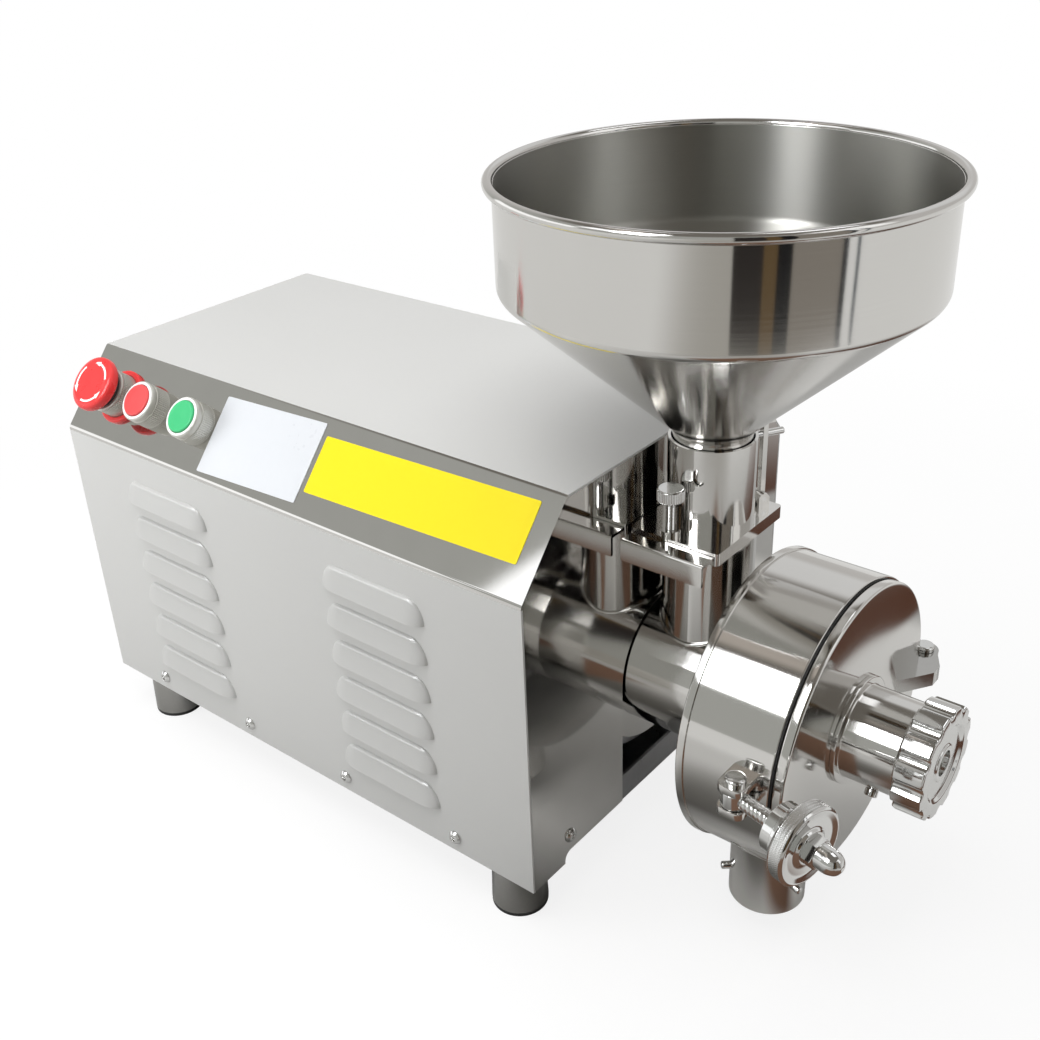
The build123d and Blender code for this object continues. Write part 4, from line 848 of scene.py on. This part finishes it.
def make_latch():
    """Washer, knurled nut and domed cap on the swing bolt, with a thread on the bolt."""
    washer = rounded([
        (32, 5.3, .2), (32, 15.5, .6), (39, 15.5, .6), (39, 17, .5), (43.7, 17, .9), (43.7, 5.3, .2)])
    make_piece("clamp_collar", [(turned(washer, LATCH, BOLT_AXIS, 96), True, True)], "washer", chromed,
               ["clamp_washer"])
    rim = rounded([
        (NUT_START, BOLT_HOLE, .1), (NUT_START, 22.4, .5), (45.5, NUT_RADIUS, .4), (53.2, NUT_RADIUS, .4),
        (54.6, 22.4, .6), (53.4, 18, 1), (53.4, 12, 1), (55, 10.2, .4), (55, BOLT_HOLE, .1)], steps=4)
    nut = turned(fine(rim, 0.6), LATCH, BOLT_AXIS, 600, knurled(NUT_RADIUS, 100, 0.45, 2.0))
    make_piece("knurled_ring", [(nut, False, True)], "nut", chromed, ["knurled_nut"],
               smooth=60.0)
    dome = rounded([
        (CAP_START, BOLT_HOLE, .1), (CAP_START, 8.7, .1), (55.5, 9.24, .1), (61, 9.24, .1), (61.5, 8.4, .2),
        (61.6, 7.3, .2), (68.6, 7.3, 4), (73.6, 5.2, 2.6), (75.5, 1.6, 1.4), (75.5, POLE, .01),
        (69.6, POLE, .01), (69.6, BOLT_HOLE, .1)])
    cap = turned(dome, LATCH, BOLT_AXIS, 120, hexagonal(16.0, 7.4))
    make_piece("domed_nut", [(cap, True, True)], "nut", chromed, ["cap_nut"], smooth=30.0)
    shank = rounded([
        (7.2, POLE, .01), (7.2, BOLT_RADIUS, .1), (60, BOLT_RADIUS, .5), (60, POLE, .01)], steps=3)
    bolt = turned(fine(shank, 0.35), LATCH, BOLT_AXIS, 48, threaded(BOLT_RADIUS, 1.25, 0.5))
    eye = turned(rounded([(-5, 4.05, .2), (5, 4.05, .2), (5, 8, .8), (-5, 8, .8)]), LATCH, UP, 64)
    make_piece("eye_bolt", [(bolt, False, True), (eye, True, True)], "bolt", chromed,
               ["swing_bolt"], smooth=50.0)


def make_thumb_screw():
    """Knurled head on a threaded shank."""
    low, head, top = THUMB_LOW, THUMB_HEAD, THUMB_HEAD + 8
    profile = rounded([
        (low, POLE, .01), (low, 3, .2), (head, 3, .3), (head, 7.6, .2), (head + .6, THUMB_RADIUS, .2),
        (head + 7.2, THUMB_RADIUS, .2), (top, 7.4, .3), (top, POLE, .01)], steps=4)
    grip, thread = knurled(THUMB_RADIUS, 40, 0.4, 0.0), threaded(3.0, 1.0, 0.4)

    def shape(reach, angle, station):
        return np.where(reach > 4.0, grip(reach, angle, station), thread(reach, angle, station))
    screw = turned(fine(profile, 0.25), THUMB_PLACE, UP, 240, shape)
    make_piece("thumb_knob", [(screw, False, True)], "thumb", chromed, ["thumb_screw"],
               smooth=50.0)


# Screws and feet

COVER_SCREWS = 60.0 + 101.7 * np.arange(4)
COVER_SCREW_Z = GROUND_GAP + 11.5
PANEL_SCREW_Y = HALF_WIDTH - 39.0
PANEL_SCREW_Z = GROUND_GAP + 20.0
SCREW_HEAD = 5.0
FOOT_X = (41.0, HOUSING_LENGTH - 28.0)
FOOT_Y = HALF_WIDTH - 19.5
PAD_RADIUS = 17.0
PAD_LIP = 18.6
PAD_PROUD = 2.95
PAD_HEIGHT = 8.0
SIDES = (-1, 1)


def make_small_parts():
    """Pan head screws with a round socket, and the rubber pads with their lips under the foot cups."""
    head = rounded([
        (-8, POLE, .01), (-8, 2, .2), (0, 2, .1), (0, SCREW_HEAD, .2), (0.7, SCREW_HEAD, .4), (2.4, 3.4, 1.4),
        (2.7, 1.9, .3), (1.2, 1.5, .2), (1.2, POLE, .01)])
    places = [((x, side * HALF_WIDTH, COVER_SCREW_Z), (0, side, 0)) for x in COVER_SCREWS for side in SIDES]
    places += [((x, side * PANEL_SCREW_Y, PANEL_SCREW_Z), (way, 0, 0))
               for x, way in ((0.0, -1), (HOUSING_LENGTH, 1)) for side in SIDES]
    screws = [(turned(head, place, axis, 48), False, True) for place, axis in places]
    make_piece("pan_screws", screws, "base", screw_steel, ["housing_screws"])
    pad = rounded([
        (0, POLE, .01), (0, PAD_LIP, .7), (PAD_PROUD, PAD_LIP, .2), (PAD_PROUD, PAD_RADIUS, .1),
        (PAD_HEIGHT, PAD_RADIUS, .2), (PAD_HEIGHT, POLE, .01)])
    pads = [(turned(pad, (x, side * FOOT_Y, 0), UP, 64), False, True) for x in FOOT_X for side in SIDES]
    make_piece("rubber_pads", pads, "base", black_rubber, ["foot_pads"])


# Controls on the sloping panel

SLOPE_NORMAL = np.array([0.0, -SLOPE_RISE, SLOPE_INSET]) / SLOPE_LENGTH
SLOPE_UP = np.array([0.0, SLOPE_INSET, SLOPE_RISE]) / SLOPE_LENGTH
BUTTON_RISE = 34.0
ESTOP_X = 44.0
STOP_X = 80.5
START_X = 130.0
BARREL_FOOT = ((-24, POLE, .01), (-24, 11, .3), (0, 11, .2))
ESTOP_BARREL = 16.0
ESTOP_FACE = 30.6
ARROW_STARTS = (20.0, 140.0, 260.0)
ARROW_SWEEP = 84.0
ARROW_RADIUS = 14.2
ARROW_THICK = 0.35
ARROW_NECK = 0.72
ARROW_HALF = 0.75
ARROW_HEAD = 1.9
BEZEL_RADIUS = 14.8
PLATE_LIFT = 0.02
PLATE_THICK = 0.4
PLATE_EDGE = 0.08
PLATE_CORNER = 1.2


def slope_point(x, rise):
    """Point on the sloping panel: x along it, rise up it."""
    foot = np.array([x, -HALF_WIDTH, GROUND_GAP + SLOPE_FOOT])
    return foot + rise * SLOPE_UP


def on_slope(corners, place, steps=6):
    """Rounded profile turned about a line square to the sloping panel."""
    return turned(rounded(corners, steps=steps), place, SLOPE_NORMAL)


def ribbed_barrel(corners, place, radius, ribs, depth):
    """Profile turned like that, with even ribs in the part at full radius."""
    profile = fine(rounded([*BARREL_FOOT, *corners], steps=3), 2.0)
    return turned(profile, place, SLOPE_NORMAL, 4 * ribs, knurled(radius, ribs, depth, 0.0))


def arrow_arc(centre, start):
    """Bent arrow on the emergency stop's face: half its width is even along the neck, then widens and tapers
    evenly to a point; its section is a loop of four corners."""
    t = np.linspace(0.0, 1.0, 40)
    half = np.where(t < ARROW_NECK, ARROW_HALF, ARROW_HEAD * (1.0 - t) / (1.0 - ARROW_NECK) + 0.01)
    angle = np.radians(start + ARROW_SWEEP * t)
    loop = []
    for side, height in ((-1, 0.0), (-1, ARROW_THICK), (1, ARROW_THICK), (1, 0.0)):
        reach = ARROW_RADIUS + side * half
        loop.append(centre + (reach * np.cos(angle))[:, None] * np.array(RIGHT)
                    + (reach * np.sin(angle))[:, None] * SLOPE_UP + (ESTOP_FACE + height) * SLOPE_NORMAL)
    return np.stack(loop)


def make_emergency_stop():
    """Ring, ribbed barrel and mushroom head with three turning arrows."""
    stop = slope_point(ESTOP_X, BUTTON_RISE)
    ring = on_slope([(0, 16.15, .1), (0, 20, .2), (3.5, 20, 1.5), (3.5, 16.15, .6)], stop)
    make_piece("stop_ring", [(ring, True, True)], "base", red_plastic, ["estop_ring"])
    barrel = ribbed_barrel([
        (0, ESTOP_BARREL, .2), (15.5, ESTOP_BARREL, .3), (15.6, 15.4, .1), (17, 15.4, .5), (17, 13.3, .3),
        (0.5, 13.3, .1), (0.5, POLE, .01)], stop, ESTOP_BARREL, 72, 0.35)
    make_piece("stop_barrel", [(barrel, False, True)], "base", button_metal, ["estop_body"])
    head = on_slope([
        (22.6, POLE, .01), (22.6, 18.6, 1.2), (25.2, 20, 2.2), (29.4, 19.6, 2.2), (30.9, 16.6, 1.4),
        (ESTOP_FACE, 12.4, .5), (30.7, POLE, .01)], stop, steps=8)
    make_piece("mushroom_head", [(head, False, True)], "estop_cap", red_plastic,
               ["estop_head"])
    arrows = [(arrow_arc(stop, start), True, False) for start in ARROW_STARTS]
    make_piece("turn_arrows", arrows, "estop_cap", white_paint)


def make_button(button, x, tone):
    """Push button: ribbed bezel with a white rim, and its cap."""
    place = slope_point(x, BUTTON_RISE)
    bezel = ribbed_barrel([
        (0, BEZEL_RADIUS, .3), (11.6, BEZEL_RADIUS, .3), (11.8, 14.2, .1), (12.6, 14.2, .2), (12.8, 14.6, .1),
        (16.4, 14.6, .8), (17, 13.4, .5), (17, 11.8, .3), (0.35, 11.8, .1), (0.35, POLE, .01)],
        place, BEZEL_RADIUS, 64, 0.3)
    make_piece(button + "_bezel", [(bezel, False, True)], "base", button_metal,
               [button + "_body"])
    lip = on_slope([(16.2, 11.9, .2), (17.3, 11.9, .4), (17.3, 13.6, .5), (16.2, 14, .3)], place)
    make_piece(button + "_bezel_rim", [(lip, True, True)], "base", white_paint)
    cap = on_slope([
        (4.15, POLE, .01), (4.15, 11.5, .2), (18, 11.5, .6), (18.5, 10.4, .6), (18.3, 9.6, .3),
        (18.3, POLE, .01)], place, steps=5)
    make_piece(button + "_disc", [(cap, False, True)], button + "_button", tone, [button + "_cap"])


def slope_plate(name, start, end, low, high, lean, material):
    """Thin blank plate on the sloping panel with round corners, stuck on a little askew: at its end it sits
    higher by the lean."""
    corners = [(start, low), (end, low + lean), (end, high + lean), (start, high)]
    plan = rounded([(*corner, PLATE_CORNER) for corner in corners], steps=5)
    flat = slab(plan, PLATE_LIFT, PLATE_THICK, PLATE_EDGE)
    points = (slope_point(0.0, 0.0) + flat[..., :1] * np.array(RIGHT) + flat[..., 1:2] * SLOPE_UP
              + flat[..., 2:] * SLOPE_NORMAL)
    make_piece(name, [(points, False, True)], "base", material)


# Louvred housing

LOUVRE_LENGTH = 88.0
LOUVRE_HEIGHT = 17.0
LOUVRE_REACH = 5.5 + SHEET / 2
LOUVRE_END = 14.0
LOUVRE_STRAIGHT = LOUVRE_LENGTH / 2 - LOUVRE_END
LOUVRE_BEND = 0.14
LOUVRE_BEND_SHARE = 0.42
LOUVRE_COLUMNS = np.array([106.0, 310.0])
LOUVRE_ROWS = GROUND_GAP + 30.0 + 28.2 * np.arange(6)


def louvre_rise():
    """Heights up a louvre, its reach there (from the top edge a short round bend and then an even slope to
    the full depth at the open edge), the length of its end there (a quarter ellipse up the louvre), and
    the angle at which that end meets the wall."""
    up = np.sin(np.linspace(0.0, np.pi / 2, 24))
    down = 1.0 - up
    bend = 1.0 - (1.0 - np.minimum(down / LOUVRE_BEND, 1.0)) ** 2
    out = LOUVRE_REACH * (LOUVRE_BEND_SHARE * bend + (1.0 - LOUVRE_BEND_SHARE) * down)
    meet = np.arccos(np.minimum(SHEET / 2 / np.maximum(out, 1e-6), 1.0))
    return LOUVRE_HEIGHT * up, out, LOUVRE_END * np.sqrt(1.0 - up ** 2), meet


def louvre_patch(x, z, side):
    """One louvre: at each height an elliptic arc, a straight and an elliptic arc stand out of the wall by
    the reach at that height."""
    height, out, end, meet = louvre_rise()
    turn = np.linspace(0.0, 1.0, 12)
    angle = meet[:, None] * np.concatenate([turn - 1.0, turn])[None]
    middle = np.repeat([-LOUVRE_STRAIGHT, LOUVRE_STRAIGHT], len(turn))[None]
    px = x + middle + end[:, None] * np.sin(angle)
    py = np.maximum(out[:, None] * np.cos(angle) - SHEET / 2, 0.0)
    pz = np.broadcast_to((z + height)[:, None], px.shape)
    return np.stack([px, side * (HALF_WIDTH + py), pz], axis=2)


def louvre_collar(x, z, side, way):
    """Flat sheet beside one end of a louvre: at each height from the louvre's end to the edge of its cell."""
    height, out, end, meet = louvre_rise()
    near = x + way * (LOUVRE_STRAIGHT + end * np.sin(meet))
    far = np.full(len(out), x + way * LOUVRE_LENGTH / 2)
    px = np.stack([near, far], axis=1)
    pz = np.broadcast_to((z + height)[:, None], px.shape)
    return np.stack([px, np.full(px.shape, side * HALF_WIDTH), pz], axis=2)


def turn_outwards(piece, lift):
    """Faces of an open sheet of the housing turned to point away from its middle plane and, with a lift of
    one, from the middle of its height."""
    normal, middle = face_vectors(piece)
    away = middle - row_frame((0.0, 0.0, GROUND_GAP + HOUSING_HEIGHT / 2))
    inwards = (normal * away) @ np.array([0.0, 1.0, lift]) < 0
    bm = bmesh.new()
    bm.from_mesh(piece.data)
    bm.faces.ensure_lookup_table()
    bmesh.ops.reverse_faces(bm, faces=[bm.faces[i] for i in np.nonzero(inwards)[0]])
    bm.to_mesh(piece.data)
    bm.free()


def housing_outline():
    """Front wall, slope, top, slope and rear wall with round folds, with a point at each louvre's edges."""
    top, shoulder = GROUND_GAP + HOUSING_HEIGHT, GROUND_GAP + SLOPE_FOOT
    ridge = HALF_WIDTH - SLOPE_INSET
    corners = [(-HALF_WIDTH, GROUND_GAP, 0), (-HALF_WIDTH, shoulder, SHOULDER_FOLD), (-ridge, top, TOP_FOLD),
               (ridge, top, TOP_FOLD), (HALF_WIDTH, shoulder, SHOULDER_FOLD), (HALF_WIDTH, GROUND_GAP, 0)]
    outline = rounded(corners, closed=False, steps=8)
    apart = np.linalg.norm(np.diff(outline, axis=0), axis=1) > 1e-6
    outline = outline[np.concatenate([[True], apart])]
    lines = np.sort(np.concatenate([LOUVRE_ROWS, LOUVRE_ROWS + LOUVRE_HEIGHT]))
    front = np.stack([np.full(len(lines), -HALF_WIDTH), lines], axis=1)
    rear = np.stack([np.full(len(lines), HALF_WIDTH), lines[::-1]], axis=1)
    return np.concatenate([outline[:1], front, outline[1:-1], rear, outline[-1:]])


def louvre_cells(outline, stations):
    """Which cells between neighbours of the outline and of the stations lie behind a louvre."""
    mid_x = (stations[1:] + stations[:-1]) / 2
    mid_y, mid_z = ((outline[1:] + outline[:-1]) / 2).T
    on_wall = np.abs(mid_y) > HALF_WIDTH - 0.01
    in_row = np.min(np.abs(mid_z[:, None] - LOUVRE_ROWS - LOUVRE_HEIGHT / 2), axis=1) < 1.0
    in_column = np.min(np.abs(mid_x[:, None] - LOUVRE_COLUMNS), axis=1) < 1.0
    return (on_wall & in_row)[:, None] & in_column[None]


def make_housing():
    """Folded cover: its outline is carried along the housing; cells behind the louvres are left out, and the
    louvres and the flat sheet beside their ends stand in them."""
    outline = housing_outline()
    edges = (LOUVRE_COLUMNS[:, None] + np.array([-1, 1]) * LOUVRE_LENGTH / 2).ravel()
    stations = np.concatenate([[0.0], edges, [HOUSING_LENGTH]])
    x, y = np.meshgrid(stations, outline[:, 0])
    z = np.broadcast_to(outline[:, 1][:, None], x.shape)
    cell = louvre_cells(outline, stations)
    skin = make_piece("folded_cover", [(np.stack([x, y, z], axis=2), False, False)], "base", matt_sheet,
                      ["housing_cover"], keep=lambda a, b: ~cell[a, b])
    places = [(x, z, side) for side in SIDES for x in LOUVRE_COLUMNS for z in LOUVRE_ROWS]
    patches = [(louvre_patch(*place), False, False) for place in places]
    # The louvres carry the darkened copy of the matt sheet, painted shade.
    vents = make_piece("louvres", patches, "base", louvre_shaded_sheet, ["housing_cover"])
    collars = [(louvre_collar(*place, way), False, False) for place in places for way in SIDES]
    ends = make_piece("louvre_ends", collars, "base", matt_sheet, ["housing_cover"])
    for piece, lift in ((skin, 1.0), (vents, 0.0), (ends, 0.0)):
        turn_outwards(piece, lift)
        solid = piece.modifiers.new("thickness", "SOLIDIFY")
        solid.thickness = SHEET / METRE
        solid.offset = -1.0
        piece.modifiers.new("soft_edges", "NODES").node_group = SOFT_EDGES
    second_finish(skin, mirror_sheet, face_vectors(skin)[0] @ SLOPE_NORMAL > 0.78)


dress_nodes()
set_stage()
make_knob()
make_latch()
make_thumb_screw()
make_emergency_stop()
make_button("stop", STOP_X, cap_red)
make_button("start", START_X, cap_green)
make_small_parts()
slope_plate("white_plate", 146.0, 241.0, 4.5, 59.5, 3.6, plate_white)
slope_plate("yellow_plate", 245.0, 416.0, 17.0, 55.5, 4.3, plate_yellow)
make_housing()
make_neck()
make_drum()
make_cover()
make_hopper()
